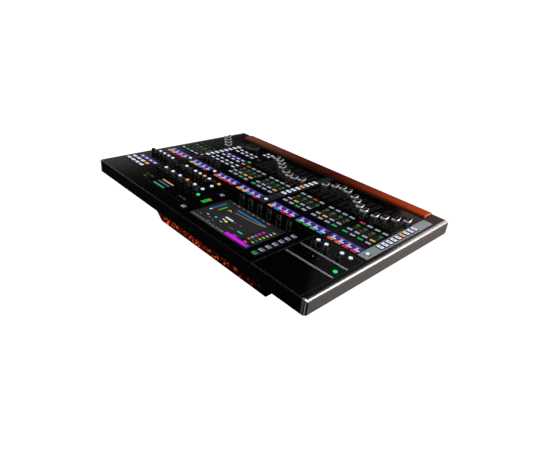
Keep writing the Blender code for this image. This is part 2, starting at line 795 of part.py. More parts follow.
def fader_mesh():
    """A fader cap with a scooped top, its stem and its carriage, around the fader's own origin."""
    half = CAP_LENGTH / 2
    profile = [(-half, CAP_BASE), (half, CAP_BASE), (half - 1.2, 8.0), (half - 3.5, CAP_HEIGHT)]
    scoop_half = half - 6.0
    for index in range(4):
        across = scoop_half * (1 - 2 * index / 3)
        dip = CAP_SCOOP * (0.25 + 0.75 * math.cos(math.pi / 2 * across / scoop_half))
        profile.append((across, CAP_HEIGHT - dip))
    profile += [(-half + 3.5, CAP_HEIGHT), (-half + 1.2, 8.0)]
    mesh = bmesh.new()
    ends = []
    for u in (-CAP_WIDTH / 2, CAP_WIDTH / 2):
        ends.append([mesh.verts.new((u * MM, v * MM, w * MM)) for v, w in profile])
    for index in range(len(profile)):
        if index != 1:
            corners = (ends[0][index - 1], ends[0][index], ends[1][index], ends[1][index - 1])
            mesh.faces.new(corners)
    cap(mesh, [ends[0]])
    cap(mesh, [ends[1]])
    cap_bottom = [ends[0][0], ends[0][1], ends[1][1], ends[1][0]]
    stem = centred(0.0, 0.0, STEM_WIDTH, STEM_LENGTH)
    stem_top = ring(mesh, stem, CAP_BASE)
    stem_low = ring(mesh, stem, CARRIAGE_TOP)
    carriage = centred(0.0, 0.0, *CARRIAGE_SIZE)
    carriage_top = ring(mesh, carriage, CARRIAGE_TOP)
    carriage_low = ring(mesh, carriage, CARRIAGE_BOTTOM)
    cap(mesh, [cap_bottom, stem_top])
    wall(mesh, stem_top, stem_low)
    cap(mesh, [carriage_top, stem_low])
    wall(mesh, carriage_top, carriage_low)
    cap(mesh, [carriage_low])
    return mesh


def make_faders(frame, look):
    """The faders, each at its place in the mix. They share one mesh."""
    data = None
    for index, (u, v) in enumerate(fader_places()):
        name = f"fader_{index + 1:02d}"
        if data is None:
            data = finish(fader_mesh(), name, frame, (u, v, 0.0), look).data
            continue
        made = bpy.data.objects.new(name, data)
        bpy.context.collection.objects.link(made)
        made.parent = frame
        made.location = Vector((u, v, 0.0)) * MM


def make_fader_frame(frame, look):
    """The fader chassis: a plate on posts, with a rail on either side of each fader's carriage."""
    rail_us = []
    for group in FADER_GROUPS:
        rail_us += spread(group, STRIP_PITCH, STRIPS_PER_GROUP + 1)
    length = FADER_TRAVEL + CARRIAGE_SIZE[1] + 4.0
    rails = [centred(u, FADER_MIDDLE_V, RAIL_WIDTH, length) for u in rail_us]
    rail_steps = [step(rail, RAIL_TOP) for rail in rails]
    outline = box_outline(-392, 418, FADER_BOTTOM_V - 20.0, FADER_TOP_V + 20.0)
    posts = [centred(u, v, 8.0, 8.0) for u in (-380, 300) for v in (-214, -92)]
    feet = [step(post, TRAY_FLOOR_TOP + GAP) for post in posts]
    mesh = stepped_mesh(outline, FADER_FRAME_BOTTOM, FADER_FRAME_TOP, rail_steps, feet)
    return finish(mesh, "fader_frame", frame, look=look)


# Lower chassis parts ------------------------------------------------------------------------------

def hull_rings(mesh, inset):
    """The bottom and top corners of the hull's outer skin, or of its inner one, moved in by inset."""
    bottom_half = HULL_BOTTOM_HALF_WIDTH - inset
    top_half = HULL_TOP_HALF_WIDTH - inset
    rear = HULL_REAR_Y - inset
    front = HULL_FRONT_Y + inset
    bottom_z = HULL_BOTTOM_Z + inset
    rear_v = (rear - SLAB_CENTRE_Y + HULL_TOP * math.sin(SLAB_TILT)) / math.cos(SLAB_TILT)
    front_v = HULL_FRONT_TOP_V + inset
    bottom = [(-bottom_half, front), (bottom_half, front), (bottom_half, rear), (-bottom_half, rear)]
    top = [(-top_half, front_v), (top_half, front_v), (top_half, rear_v), (-top_half, rear_v)]
    low = [mesh.verts.new((x * MM, y * MM, bottom_z * MM)) for x, y in bottom]
    high = [mesh.verts.new(slab_point(u, v, HULL_TOP) * MM) for u, v in top]
    return low, high


def make_lower_chassis(look):
    """The flared sheet-metal hull, open to the slab above, with an opening in its rear wall."""
    mesh = bmesh.new()
    corners = [
        (-OPENING_LOW[0], OPENING_LOW[1]), (OPENING_LOW[0], OPENING_LOW[1]),
        (OPENING_HIGH[0], OPENING_HIGH[1]), (-OPENING_HIGH[0], OPENING_HIGH[1]),
    ]
    rims = []
    openings = []
    for inset in (0.0, HULL_WALL):
        low, high = hull_rings(mesh, inset)
        cap(mesh, [low])
        for corner in (0, 1, 2):
            mesh.faces.new((low[corner - 1], low[corner], high[corner], high[corner - 1]))
        rear_y = HULL_REAR_Y - inset
        opening = [mesh.verts.new((x * MM, rear_y * MM, z * MM)) for x, z in corners]
        cap(mesh, [[low[3], low[2], high[2], high[3]], opening])
        rims.append(high)
        openings.append(opening)
    wall(mesh, *rims)
    wall(mesh, *openings)
    return finish(mesh, "lower_chassis", look=look)


def connector_places():
    """Every connector's outline and how far it stands out, in the rear wall's frame."""
    acrosses = [XLR_FIRST + XLR_PITCH * index for index in range(XLR_COUNT)]
    round_ones = [circle(x, row, XLR_RADIUS) for x in acrosses for row in XLR_ROWS]
    jacks = [circle(x, JACK_ROW, JACK_RADIUS) for x in acrosses]
    ports = [centred(x, z, *PORT_SIZE) for x, z in PORT_PLACES]
    inlet = [centred(*INLET_PLACE, *INLET_SIZE)]
    return round_ones + jacks + ports + inlet


def make_rear_panel(frame, look):
    """The connector plate behind the hull's rear opening."""
    low_half = OPENING_LOW[0] + PANEL_OVERLAP
    high_half = OPENING_HIGH[0] + PANEL_OVERLAP
    low_z = OPENING_LOW[1] - PANEL_OVERLAP
    high_z = OPENING_HIGH[1] + PANEL_OVERLAP
    outline = [(-low_half, low_z), (low_half, low_z), (high_half, high_z), (-high_half, high_z)]
    openings = connector_places() + [centred(*SWITCH_PLACE, SWITCH_SIZE[0] + 1.0, SWITCH_SIZE[1] + 1.0)]
    mesh = stepped_mesh(outline, -PANEL_THICKNESS, 0.0, holes(openings))
    return finish(mesh, "rear_panel", frame, look=look)


def make_rear_io_board(frame, look):
    """The connector board, with each connector's body standing out into its opening."""
    bodies = [step(shrink(outline), 0.6) for outline in connector_places()]
    outline = [(-240, 19), (222, 19), (222, 85), (150, 85), (150, 116), (-240, 116)]
    mesh = stepped_mesh(outline, -CONNECTOR_DEPTH - 1.6, -CONNECTOR_DEPTH, bodies)
    return finish(mesh, "rear_io_board", frame, look=look)


def make_power_switch(frame, look):
    """The rocker of the mains switch, tilted to on, with its origin on its pivot."""
    half_height = SWITCH_SIZE[1] / 2 - 0.4
    profile = [(-half_height, -5.0), (half_height, -5.0), (half_height, 2.2), (0.0, 1.2), (-half_height, 2.2)]
    mesh = prism_mesh(profile, -SWITCH_SIZE[0] / 2, SWITCH_SIZE[0] / 2, axis=0)
    made = finish(mesh, "power_switch", frame, (*SWITCH_PLACE, 0.0), look)
    made.rotation_euler = (SWITCH_REST_TILT, 0.0, 0.0)
    return made


def make_main_board(look):
    """The processing board on the hull's floor, with its larger components."""
    outline = box_outline(-215, 215, 20, 180)
    parts = [
        step(centred(-120, 110, 40, 40), 28.0), step(centred(-50, 110, 40, 40), 28.0),
        step(centred(60, 120, 70, 60), 42.0), step(centred(160, 90, 50, 90), 30.0),
        step(centred(-170, 50, 60, 24), 33.0),
    ]
    floor = HULL_BOTTOM_Z + HULL_WALL + GAP
    posts = [step(centred(x, y, 8, 8), floor) for x in (-200, 200) for y in (30, 170)]
    mesh = stepped_mesh(outline, 18.0, 19.6, parts, posts)
    return finish(mesh, "main_board", look=look)


def make_power_supply(look):
    """The boxed mains supply in the front of the hull."""
    floor = HULL_BOTTOM_Z + HULL_WALL + GAP
    outline = box_outline(-200, -20, -120, -10)
    cover = step(box_outline(-192, -28, -112, -18), 52.0, [step(centred(-110, -65, 60, 60), 48.0)])
    mesh = stepped_mesh(outline, floor, floor + 3.0, [cover])
    return finish(mesh, "power_supply", look=look)


def make_feet(look):
    """Four rubber feet under the hull."""
    names = ("front_left_foot", "front_right_foot", "rear_left_foot", "rear_right_foot")
    profile = [(FOOT_RADIUS - 1.0, 0.0), (FOOT_RADIUS, 1.5), (FOOT_RADIUS, HULL_BOTTOM_Z - GAP)]
    for name, place in zip(names, FOOT_PLACES):
        finish(turned_mesh(profile, 12), name, None, (*place, 0.0), look, smooth=True)


def main():
    """Clear the scene and build the console."""
    for old in list(bpy.data.objects):
        bpy.data.objects.remove(old, do_unlink=True)
    slab_place = (0.0, SLAB_CENTRE_Y, SLAB_CENTRE_HEIGHT)
    slab = new_frame("slab_frame", slab_place, (SLAB_TILT, 0.0, 0.0))
    panel_y = HULL_REAR_Y - HULL_WALL - GAP
    rear = new_frame("rear_frame", (0.0, panel_y, 0.0), (math.pi / 2, 0.0, math.pi))
    black_metal = material("black_metal", (0.012, 0.012, 0.013), 0.3)
    grey_metal = material("grey_metal", (0.12, 0.11, 0.105), 0.35, 1.0)
    steel = material("steel", (0.45, 0.45, 0.46), 0.4, 1.0)
    wood = material("mahogany", (0.23, 0.065, 0.03), 0.4)
    glass = material("black_glass", (0.004, 0.004, 0.005), 0.05)
    key_rubber = material("key_rubber", (0.62, 0.63, 0.66), 0.5)
    board_green = material("circuit_board", (0.01, 0.06, 0.03), 0.5)
    knob_rubber = material("knob_rubber", (0.03, 0.03, 0.033), 0.45)
    silver = material("silver_cap", (0.62, 0.62, 0.63), 0.25, 1.0)
    foot_rubber = material("foot_rubber", (0.01, 0.01, 0.01), 0.8)
    make_top_deck(slab, black_metal)
    make_cheek(slab, -1, "left_end_cheek", grey_metal)
    make_cheek(slab, 1, "right_end_cheek", grey_metal)
    make_slab_tray(slab, black_metal)
    make_armrest(slab, wood)
    make_screen_glass(slab, glass)
    make_monitor_bay(slab, black_metal)
    make_key_mats(slab, key_rubber)
    make_display_board(slab, board_green)
    make_encoder_banks(slab, knob_rubber)
    for index, place in enumerate(screen_knob_places()):
        make_knob(slab, f"screen_knob_{index + 1}", place, knob_rubber)
    for index, place in enumerate(monitor_knob_places()):
        make_knob(slab, f"monitor_knob_{index + 1}", place, knob_rubber)
    make_jog_wheel(slab, knob_rubber)
    make_faders(slab, silver)
    make_fader_frame(slab, steel)
    make_lower_chassis(black_metal)
    make_rear_panel(rear, black_metal)
    make_rear_io_board(rear, board_green)
    make_power_switch(rear, knob_rubber)
    make_main_board(board_green)
    make_power_supply(steel)
    make_feet(foot_rubber)


main()
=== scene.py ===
"""Looks for the mixing console: fine keys, caps, knobs, displays and connectors around the CAD frame.

Every place comes from the CAD frame. Sizes are in millimetres, in one of two local frames:
the slab's (u to the operator's right, v up the slope to the rear, w out of the surface, from the
centre of the top surface) and the rear wall's (across to the right as seen from behind, up, out).
"""

import json
import math
import random

import bmesh
import bpy
from mathutils import Matrix, Vector


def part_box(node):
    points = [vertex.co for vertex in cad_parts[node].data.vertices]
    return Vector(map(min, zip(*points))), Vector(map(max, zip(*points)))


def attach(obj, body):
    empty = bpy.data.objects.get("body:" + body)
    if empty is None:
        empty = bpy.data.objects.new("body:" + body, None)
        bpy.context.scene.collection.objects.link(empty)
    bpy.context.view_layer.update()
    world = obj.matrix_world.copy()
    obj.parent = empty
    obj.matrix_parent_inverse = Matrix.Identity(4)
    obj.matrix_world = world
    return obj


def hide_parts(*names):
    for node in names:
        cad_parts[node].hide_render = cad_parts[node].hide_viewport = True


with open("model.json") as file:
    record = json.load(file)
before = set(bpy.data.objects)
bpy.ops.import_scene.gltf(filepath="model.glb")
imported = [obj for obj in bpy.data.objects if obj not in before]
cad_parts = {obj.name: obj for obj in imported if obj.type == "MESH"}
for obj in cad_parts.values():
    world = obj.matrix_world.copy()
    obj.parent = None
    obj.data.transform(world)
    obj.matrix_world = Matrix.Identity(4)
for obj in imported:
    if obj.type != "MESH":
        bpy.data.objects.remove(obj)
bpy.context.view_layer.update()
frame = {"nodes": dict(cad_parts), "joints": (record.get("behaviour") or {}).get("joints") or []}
NODES = frame["nodes"]
JOINTS = {joint["name"]: joint for joint in frame["joints"]}
CONSOLE = "console"
MM = 0.001

# Key colours by letter: the material, its colour, and how dim and how bright its patches are.
KEY_LOOKS = {
    "w": ("key_w", (0.55, 0.56, 0.76), 0.45, 0.85), "W": ("key_bright", (0.76, 0.82, 0.97), 0.8, 1.15),
    "g": ("key_g", (0.010, 0.55, 0.12), 0.55, 0.9), "G": ("key_lime", (0.01, 0.86, 0.16), 0.9, 1.1),
    "o": ("key_o", (1.0, 0.36, 0.10), 0.8, 1.1), "r": ("key_r", (0.80, 0.03, 0.06), 0.6, 0.95),
    "y": ("key_y", (0.85, 0.58, 0.07), 0.65, 1.0), "d": ("key_d", (0.05, 0.05, 0.06), 0.2, 0.3),
}
WHITE, BRIGHT, GREEN, LIME, DARK = "wWgGd"
# Rows of keys from the rear to the front, each from left to right.
BANK_ROWS = {
    "left_bank_keys": ("wgwggwwwwgww", "ywwwwwywwwyw", "wwwrwwwwwrww"),
    "centre_bank_keys": ("wwwgwgww", "ywwwyyww", "wwwwwwwr"),
    "right_bank_keys": ("wwgw", "dddd", "WWWWW", "WWWWW", "oWWWWdddd", "G", "WWWW", "d", "WWWW"),
}
COLUMN_KEYS = {"left_bank_keys": "WWWWWoWWW", "centre_bank_keys": "dWWWWoWWW", "right_bank_keys": "oWWWWWWWW"}
CHANNEL_ROUND_ROWS = ("G", "WWoWWW", "W", "odWoWWdWWWWW")
CHANNEL_BOX_ROWS = ("WWWW", "oWWW")
BAR_ROWS = ("rroo", "bggg", "rrby", "rbyy", "rroo", "ptyy", "rryy")
BAR_LOOKS = {"r": "lit_red", "o": "lit_orange", "y": "lit_yellow", "g": "lit_green", "b": "lit_teal",
             "t": "lit_teal", "p": "lit_pink"}

# Lit materials: colour and strength.
LIT_LOOKS = {
    "lit_red": ((0.78, 0.015, 0.065), 0.9), "lit_orange": ((0.83, 0.15, 0.025), 0.95),
    "lit_yellow": ((0.80, 0.42, 0.05), 0.95), "lit_green": ((0.012, 0.52, 0.045), 0.9),
    "lit_teal": ((0.012, 0.25, 0.52), 0.9), "lit_blue": ((0.015, 0.18, 0.50), 0.8),
    "lit_pink": ((0.80, 0.03, 0.12), 0.9), "lit_white": ((0.80, 0.80, 1.0), 0.9),
    "lit_violet": ((0.075, 0.045, 0.33), 0.9), "lit_lavender": ((0.20, 0.155, 0.62), 0.85),
    "lit_indigo": ((0.028, 0.016, 0.13), 0.9), "lit_magenta": ((0.86, 0.0, 1.0), 1.0),
    "lit_purple": ((0.33, 0.03, 0.75), 0.9), "lit_cyan": ((0.02, 0.72, 0.90), 0.9),
    "lit_tan": ((0.42, 0.27, 0.10), 0.8), "lit_lime": ((0.75, 0.80, 0.06), 0.85),
    "lit_grey": ((0.30, 0.29, 0.31), 0.5), "meter_green": ((0.012, 0.20, 0.035), 0.9),
    "meter_off": ((0.010, 0.011, 0.010), 1.0), "meter_mark": ((0.24, 0.17, 0.19), 0.6),
    "screen_grey": ((0.015, 0.015, 0.017), 1.0), "screen_mid": ((0.045, 0.044, 0.050), 1.0),
    "screen_dark": ((0.006, 0.006, 0.009), 1.0), "patch_amber": ((1.0, 0.20, 0.04), 2.2),
}
# Printed and tinted surfaces, with their colours.
PRINT_LOOKS = {
    "strip_light": (0.40, 0.475, 0.52), "strip_dark": (0.024, 0.027, 0.030),
    "strip_black": (0.010, 0.010, 0.011), "print_grey": (0.16, 0.16, 0.165),
    "print_dim": (0.030, 0.029, 0.029), "scale_band": (0.016, 0.016, 0.016),
}

# The amber light painted as glow on the rear wall: (position, colour) from its dark parts to its bright ones.
# It is gone at AMBER_FADE's first place on X and full at its second, and grows across AMBER_FACE on Y, in
# metres.
AMBER_WALL = ((0.47, (0.022, 0.0016, 0.0005)), (0.56, (0.10, 0.006, 0.002)),
              (0.63, (0.55, 0.034, 0.005)), (0.71, (1.3, 0.30, 0.035)))
AMBER_RING = ((0.40, (0.03, 0.002, 0.001)), (0.52, (0.16, 0.010, 0.003)),
              (0.60, (0.60, 0.050, 0.008)), (0.69, (1.3, 0.42, 0.07)))
AMBER_FADE = (-0.23, 0.08)
AMBER_FACE = (0.2085, 0.2100)

# Keys: how far a cap stands out past the CAD key, and its frame's width in each section. Keys wider
# than COLUMN_KEY_WIDTH stand in a bank's column. The user section ends at USER_SECTION_END along u.
CAP_GROWTH = 0.12
CAP_RISE = 0.45
CAP_DISH = 0.15
STRIP_RIM, COLUMN_RIM, USER_RIM, ROUND_RIM = 1.9, 1.3, 2.6, 0.6
COLUMN_KEY_WIDTH = 18.5
USER_SECTION_END = 300.0

# What the CAD nodes that stay in view are made of. The lower chassis and the rear panel also carry painted
# amber light.
CAD_LOOKS = {
    "left_end_cheek": "cheek", "right_end_cheek": "cheek", "top_deck": "deck", "slab_tray": "satin",
    "screen_glass": "glass", "monitor_bay": "deck", "display_board": "mat", "fader_frame": "steel",
    "lower_chassis": "painted_amber_glow", "rear_panel": "painted_amber_glow", "rear_io_board": "satin", "main_board": "board",
    "power_supply": "steel", "front_left_foot": "feet", "front_right_foot": "feet",
    "rear_left_foot": "feet", "rear_right_foot": "feet",
}
ENCODER_BOARDS = ("channel_encoders", "custom_and_user_encoders")

# Displays: group displays are wider than GROUP_WIDTH, and the channel section's bars than BAR_WIDTH.
# Its yellow bar is in front of the first of BAR_BORDERS along v, and its green one behind the second.
GROUP_WIDTH, BAR_WIDTH = 80.0, 50.0
BAR_BORDERS = (215.0, 230.0)
CELL_HALF = 11.2

# Knobs and fader caps. KNOB_SPIN is the most that a knob's mark is turned, in radians.
KNOB_HEIGHT, KNOB_RADIUS, KNOB_BASE = 15.5, 7.0, 0.6
KNOB_RIBS = 24
KNOB_SPIN = 2.2
STEM_RADIUS, STEM_FOOT = 3.0, -13.5
SCOOP_LIP, SCOOP_DEPTH, CAP_RIM = 3.4, 4.2, 1.9
HEAD_DEPTH = 6.2
FADER_TRAVEL = 100.0

# Prints and plates on the deck. Places along u are single values, and boxes are (left, right, front, rear).
PRINT_HEIGHT = 0.08
COLUMN_PLATE_HALF = 14.2
COLUMN_PLATE_SPAN = (-233.0, 66.0)
ROUND_HOLE = 6.9
BEZEL_BAR = 4.0
STRIP_LINES = (-287.0, -181.0, 58.5, 164.0)
USER_LINES = (290.0, 319.5)
LINE_FRONT, STRIP_LINE_REAR, USER_LINE_REAR = -225.0, 66.0, 78.0
SECTION_LINES = ((50.0, 418.0, 79.4, 80.0), (300.0, 300.6, 84.0, 245.0), (50.0, 418.0, 248.0, 248.6))
EDGE_BORDER = 5.0
# The cheeks' painted light, and that of their cut edges, changes between these places on Y, in metres.
CHEEK_SPAN = (-0.28, 0.28)

# The touch screen's picture: marks as (left, right, low, high, look, height), in mm from the screen's
# left front corner. A negative place is measured back from its right or rear edge.
SCREEN_MARKS = (
    (44, -2, 16, -14, "screen_grey", 0.02), (44, -2, -12, -2, "screen_mid", 0.02),
    (2, 42, 16, -34, "screen_grey", 0.02), (46, -4, 2, 13, "screen_grey", 0.02),
    (16, 84, -17, -7.5, "lit_magenta", 0.09), (5, 16, -17, -7.5, "lit_purple", 0.09),
    (2.5, 86.5, -20.0, -5.5, "lit_indigo", 0.07), (54, 68, -22.5, -19.4, "lit_tan", 0.05),
    (21, 30, -25, -21, "lit_orange", 0.05), (90, 98, -11, -7, "lit_green", 0.05),
    (101, 105, -11, -8, "lit_tan", 0.05), (109, 117, -11, -7.5, "lit_grey", 0.05),
    (56, 73, 92, 95.5, "lit_cyan", 0.05), (112, 132, 74, 95, "screen_dark", 0.04),
    (116, 145, 69, 75, "lit_white", 0.09), (121, 131, 83, 90, "lit_lime", 0.09),
    (134, 142, 82, 86, "lit_white", 0.09), (104, 113, 72, 74.5, "lit_grey", 0.05),
    (86, 92, 70, 72.5, "lit_grey", 0.05), (84, 100, 96, 98.5, "lit_grey", 0.05),
    (52, 155, 20.5, 27, "lit_blue", 0.09), (200, 205, 24, 71, "lit_blue", 0.09),
    (200, 205, 71, 79, "lit_white", 0.09), (183, 188, 34, 60, "lit_green", 0.09),
    (183, 188, 60, 65, "lit_red", 0.09),
)
SCREEN_DOTS = (("lit_orange", 94), ("lit_cyan", 83), ("lit_orange", 72), ("lit_magenta", 60),
               ("lit_magenta", 47))
SCREEN_LABELS = ((128, 96), (146, 108), (163, 104), (178, 98), (192, 110), (150, 118))
SCREEN_COLUMN = ("lit_lime", "lit_teal", "lit_lime", "lit_lime", "lit_lime", "lit_white", "lit_lime")

# The studio. Lights are (name, place, target, (width, height), power, colour), in metres and watts.
SOFT_WHITE, WARM = (1.0, 0.99, 0.98), (1.0, 0.72, 0.67)
LIGHTS = (
    ("edge_strip", (-1.15, -0.70, 0.62), (-0.43, 0.0, 0.14), (1.05, 0.42), 6.6, SOFT_WHITE),
    ("left_front_key", (-0.66, -0.36, 0.44), (-0.36, -0.26, 0.12), (0.3, 0.3), 0.45, WARM),
    ("left_gleam", (0.62, -2.75, 1.06), (-0.43, -0.10, 0.13), (0.45, 0.9), 0.55, WARM),
    ("left_fill", (0.72, -1.85, 1.44), (-0.43, 0.20, 0.14), (0.5, 0.9), 0.16, SOFT_WHITE),
    ("top_softbox", (0.95, 0.30, 1.5), (-0.05, -0.10, 0.13), (1.2, 1.2), 14.0, SOFT_WHITE),
)
# The bright wall in reflections: where it starts and ends on X less Z, and its light before and after.
WALL = {"From Min": 0.495, "From Max": 0.56, "To Min": 0.005, "To Max": 0.40}
FLOOR_HALF = 12.0
CAMERA_LENS, SENSOR_WIDTH = 29.65, 36.0
CAMERA_OFFSET = (-0.85795, 0.77165, 0.64175)
CAMERA_DIRECTION = (0.60267, -0.57328, -0.55511)

random.seed(7)


# Local frames ------------------------------------------------------------------------------------

def slab_frame():
    """The slab's local frame, worked out from a fader's axis and the end cheek's box."""
    axis = JOINTS["fader_01_slide"]["axis"]
    tilt = math.atan2(axis[2], axis[1])
    low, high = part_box("left_end_cheek")
    size = high - low
    rise, run = math.sin(tilt), math.cos(tilt)
    thickness = (size.z * run - size.y * rise) / (run * run - rise * rise)
    normal = Vector((0.0, -rise, run))
    centre = (low + high) / 2
    centre.x = 0.0
    turn = Matrix.Rotation(tilt, 4, "X")
    return Matrix.Translation(centre + normal * thickness / 2) @ turn @ Matrix.Scale(MM, 4)


def rear_frame():
    """The rear wall's local frame: its origin is on the desk, under the panel's outer face."""
    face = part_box("rear_panel")[1].y
    turn = Matrix(((-1, 0, 0, 0), (0, 0, 1, face), (0, 1, 0, 0), (0, 0, 0, 1)))
    return turn @ Matrix.Scale(MM, 4)


SLAB = slab_frame()
REAR = rear_frame()
SLAB_TURN = (SLAB @ Matrix.Scale(1 / MM, 4)).to_3x3().to_4x4()


def spots_of(node, local=SLAB):
    """A CAD node's corners in a local frame."""
    to_local = local.inverted()
    return [to_local @ vertex.co for vertex in NODES[node].data.vertices]


def span(node, local=SLAB):
    """The lowest and the highest corner of a CAD node in a local frame."""
    spots = spots_of(node, local)
    return Vector(map(min, zip(*spots))), Vector(map(max, zip(*spots)))


def knob_spot(name):
    """Where a turning knob or wheel stands, in the slab's frame."""
    return SLAB.inverted() @ Vector(JOINTS[name + "_turn"]["pos_m"])


class Area:
    """The box around a flat area of a CAD node, in a local frame."""

    def __init__(self, spots):
        self.left = min(spot[0] for spot in spots)
        self.right = max(spot[0] for spot in spots)
        self.low = min(spot[1] for spot in spots)
        self.high = max(spot[1] for spot in spots)
        self.u = (self.left + self.right) / 2
        self.v = (self.low + self.high) / 2
        self.width = self.right - self.left
        self.depth = self.high - self.low
        self.corners = len(spots)
        self.is_round = self.corners > 4

    def inset(self, by):
        """The same area made smaller on every side."""
        return Area([(self.left + by, self.low + by), (self.right - by, self.high - by)])


def areas(node, height=None, local=SLAB):
    """The flat areas of a CAD node at one height of a local frame, or at its top, as a list of Area."""
    spots = spots_of(node, local)
    if height is None:
        height = max(spot.z for spot in spots)
    keys = [(round(spot.x, 1), round(spot.y, 1)) for spot in spots]
    parent = {}

    def top(key):
        while parent.setdefault(key, key) != key:
            key = parent[key]
        return key

    for polygon in NODES[node].data.polygons:
        corners = polygon.vertices
        if all(abs(spots[index].z - height) < 0.05 for index in corners):
            for index in corners:
                parent[top(keys[index])] = top(keys[corners[0]])
    groups = {}
    for key in list(parent):
        groups.setdefault(top(key), []).append(key)
    return sorted((Area(group) for group in groups.values()), key=lambda area: (-area.v, area.u))


def rows_of(found, reach=2.0):
    """Areas in rows from the rear to the front, each row from left to right."""
    rows = []
    for area in sorted(found, key=lambda item: -item.v):
        if rows and abs(rows[-1][0].v - area.v) < reach:
            rows[-1].append(area)
        else:
            rows.append([area])
    return [sorted(row, key=lambda item: item.u) for row in rows]


# Shapes ------------------------------------------------------------------------------------------

def rectangle(left, right, low, high):
    """The corners of a rectangle, anticlockwise."""
    return [(left, low), (right, low), (right, high), (left, high)]


def rounded(u, v, width, depth, radius, steps=3):
    """A rectangle with round corners."""
    points = []
    for index, (side, end) in enumerate(((1, 1), (-1, 1), (-1, -1), (1, -1))):
        for step in range(steps + 1):
            turn = math.pi / 2 * (index + step / steps)
            across = u + side * (width / 2 - radius) + radius * math.cos(turn)
            points.append((across, v + end * (depth / 2 - radius) + radius * math.sin(turn)))
    return points


def circle(u, v, radius, segments=24):
    """A circle as a polygon."""
    turns = [2 * math.pi * index / segments for index in range(segments)]
    return [(u + radius * math.cos(turn), v + radius * math.sin(turn)) for turn in turns]


def skin(mesh, loops, pick):
    """Faces between loops of vertices. pick gives a face's material from its station and its place."""
    for station, (first, second) in enumerate(zip(loops, loops[1:])):
        for index in range(len(first)):
            face = mesh.faces.new((first[index - 1], first[index], second[index], second[index - 1]))
            face.material_index = pick(station, index)


def loft(mesh, rings, look=0, top_look=None):
    """A closed solid through rings of the same length, given as (outline, height) from the bottom up."""
    loops = [[mesh.verts.new((x, y, height)) for x, y in outline] for outline, height in rings]
    skin(mesh, loops, lambda station, index: look)
    mesh.faces.new(list(reversed(loops[0]))).material_index = look
    mesh.faces.new(loops[-1]).material_index = look if top_look is None else top_look


def slab_block(mesh, outline, low, high, look=0):
    """A flat plate of any outline."""
    loft(mesh, [(outline, low), (outline, high)], look)


def bar(mesh, left, right, front, rear, low, high, look=0):
    """A rectangular plate."""
    slab_block(mesh, rectangle(left, right, front, rear), low, high, look)


def turned(mesh, profile, u=0.0, v=0.0, segments=32, look=0, ribs=0, rib_depth=0.0, rib_span=(0, 0)):
    """A solid of revolution from (radius, height) pairs, with grip ribs between two heights."""
    rings = []
    for radius, height in profile:
        outline = []
        ribbed = ribs and rib_span[0] <= height <= rib_span[1]
        for index in range(segments):
            turn = 2 * math.pi * index / segments
            wave = rib_depth * (0.5 - 0.5 * math.cos(ribs * turn)) if ribbed else 0.0
            outline.append((u + (radius - wave) * math.cos(turn), v + (radius - wave) * math.sin(turn)))
        rings.append((outline, height))
    loft(mesh, rings, look)


def finished(name, mesh, local, looks, smooth=None):
    """Turn a bmesh into mesh data with its materials, given by name, and its smooth shading angle."""
    bmesh.ops.recalc_face_normals(mesh, faces=mesh.faces)
    mesh.transform(local)
    data = bpy.data.meshes.new(name)
    mesh.to_mesh(data)
    mesh.free()
    for look in looks:
        data.materials.append(LOOKS[look])
    if smooth is not None:
        data.shade_smooth()
        data.set_sharp_from_angle(angle=math.radians(smooth))
    return data


def piece(name, mesh, looks, local=SLAB, body=CONSOLE, smooth=None, replaces=()):
    """Turn a bmesh into a piece that rides on a body."""
    data = finished(name, mesh, local, looks, smooth)
    settle(name, data, Matrix.Identity(4), body, replaces)


def settle(name, data, matrix, body, replaces=()):
    """Link a mesh as a piece, at a place, on a body."""
    made = link_object(name, data)
    made.matrix_world = matrix
    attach(made, body)
    if replaces:
        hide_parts(*replaces)


def link_object(name, data):
    """A new object in the scene."""
    made = bpy.data.objects.new(name, data)
    bpy.context.collection.objects.link(made)
    return made


# Materials ---------------------------------------------------------------------------------------

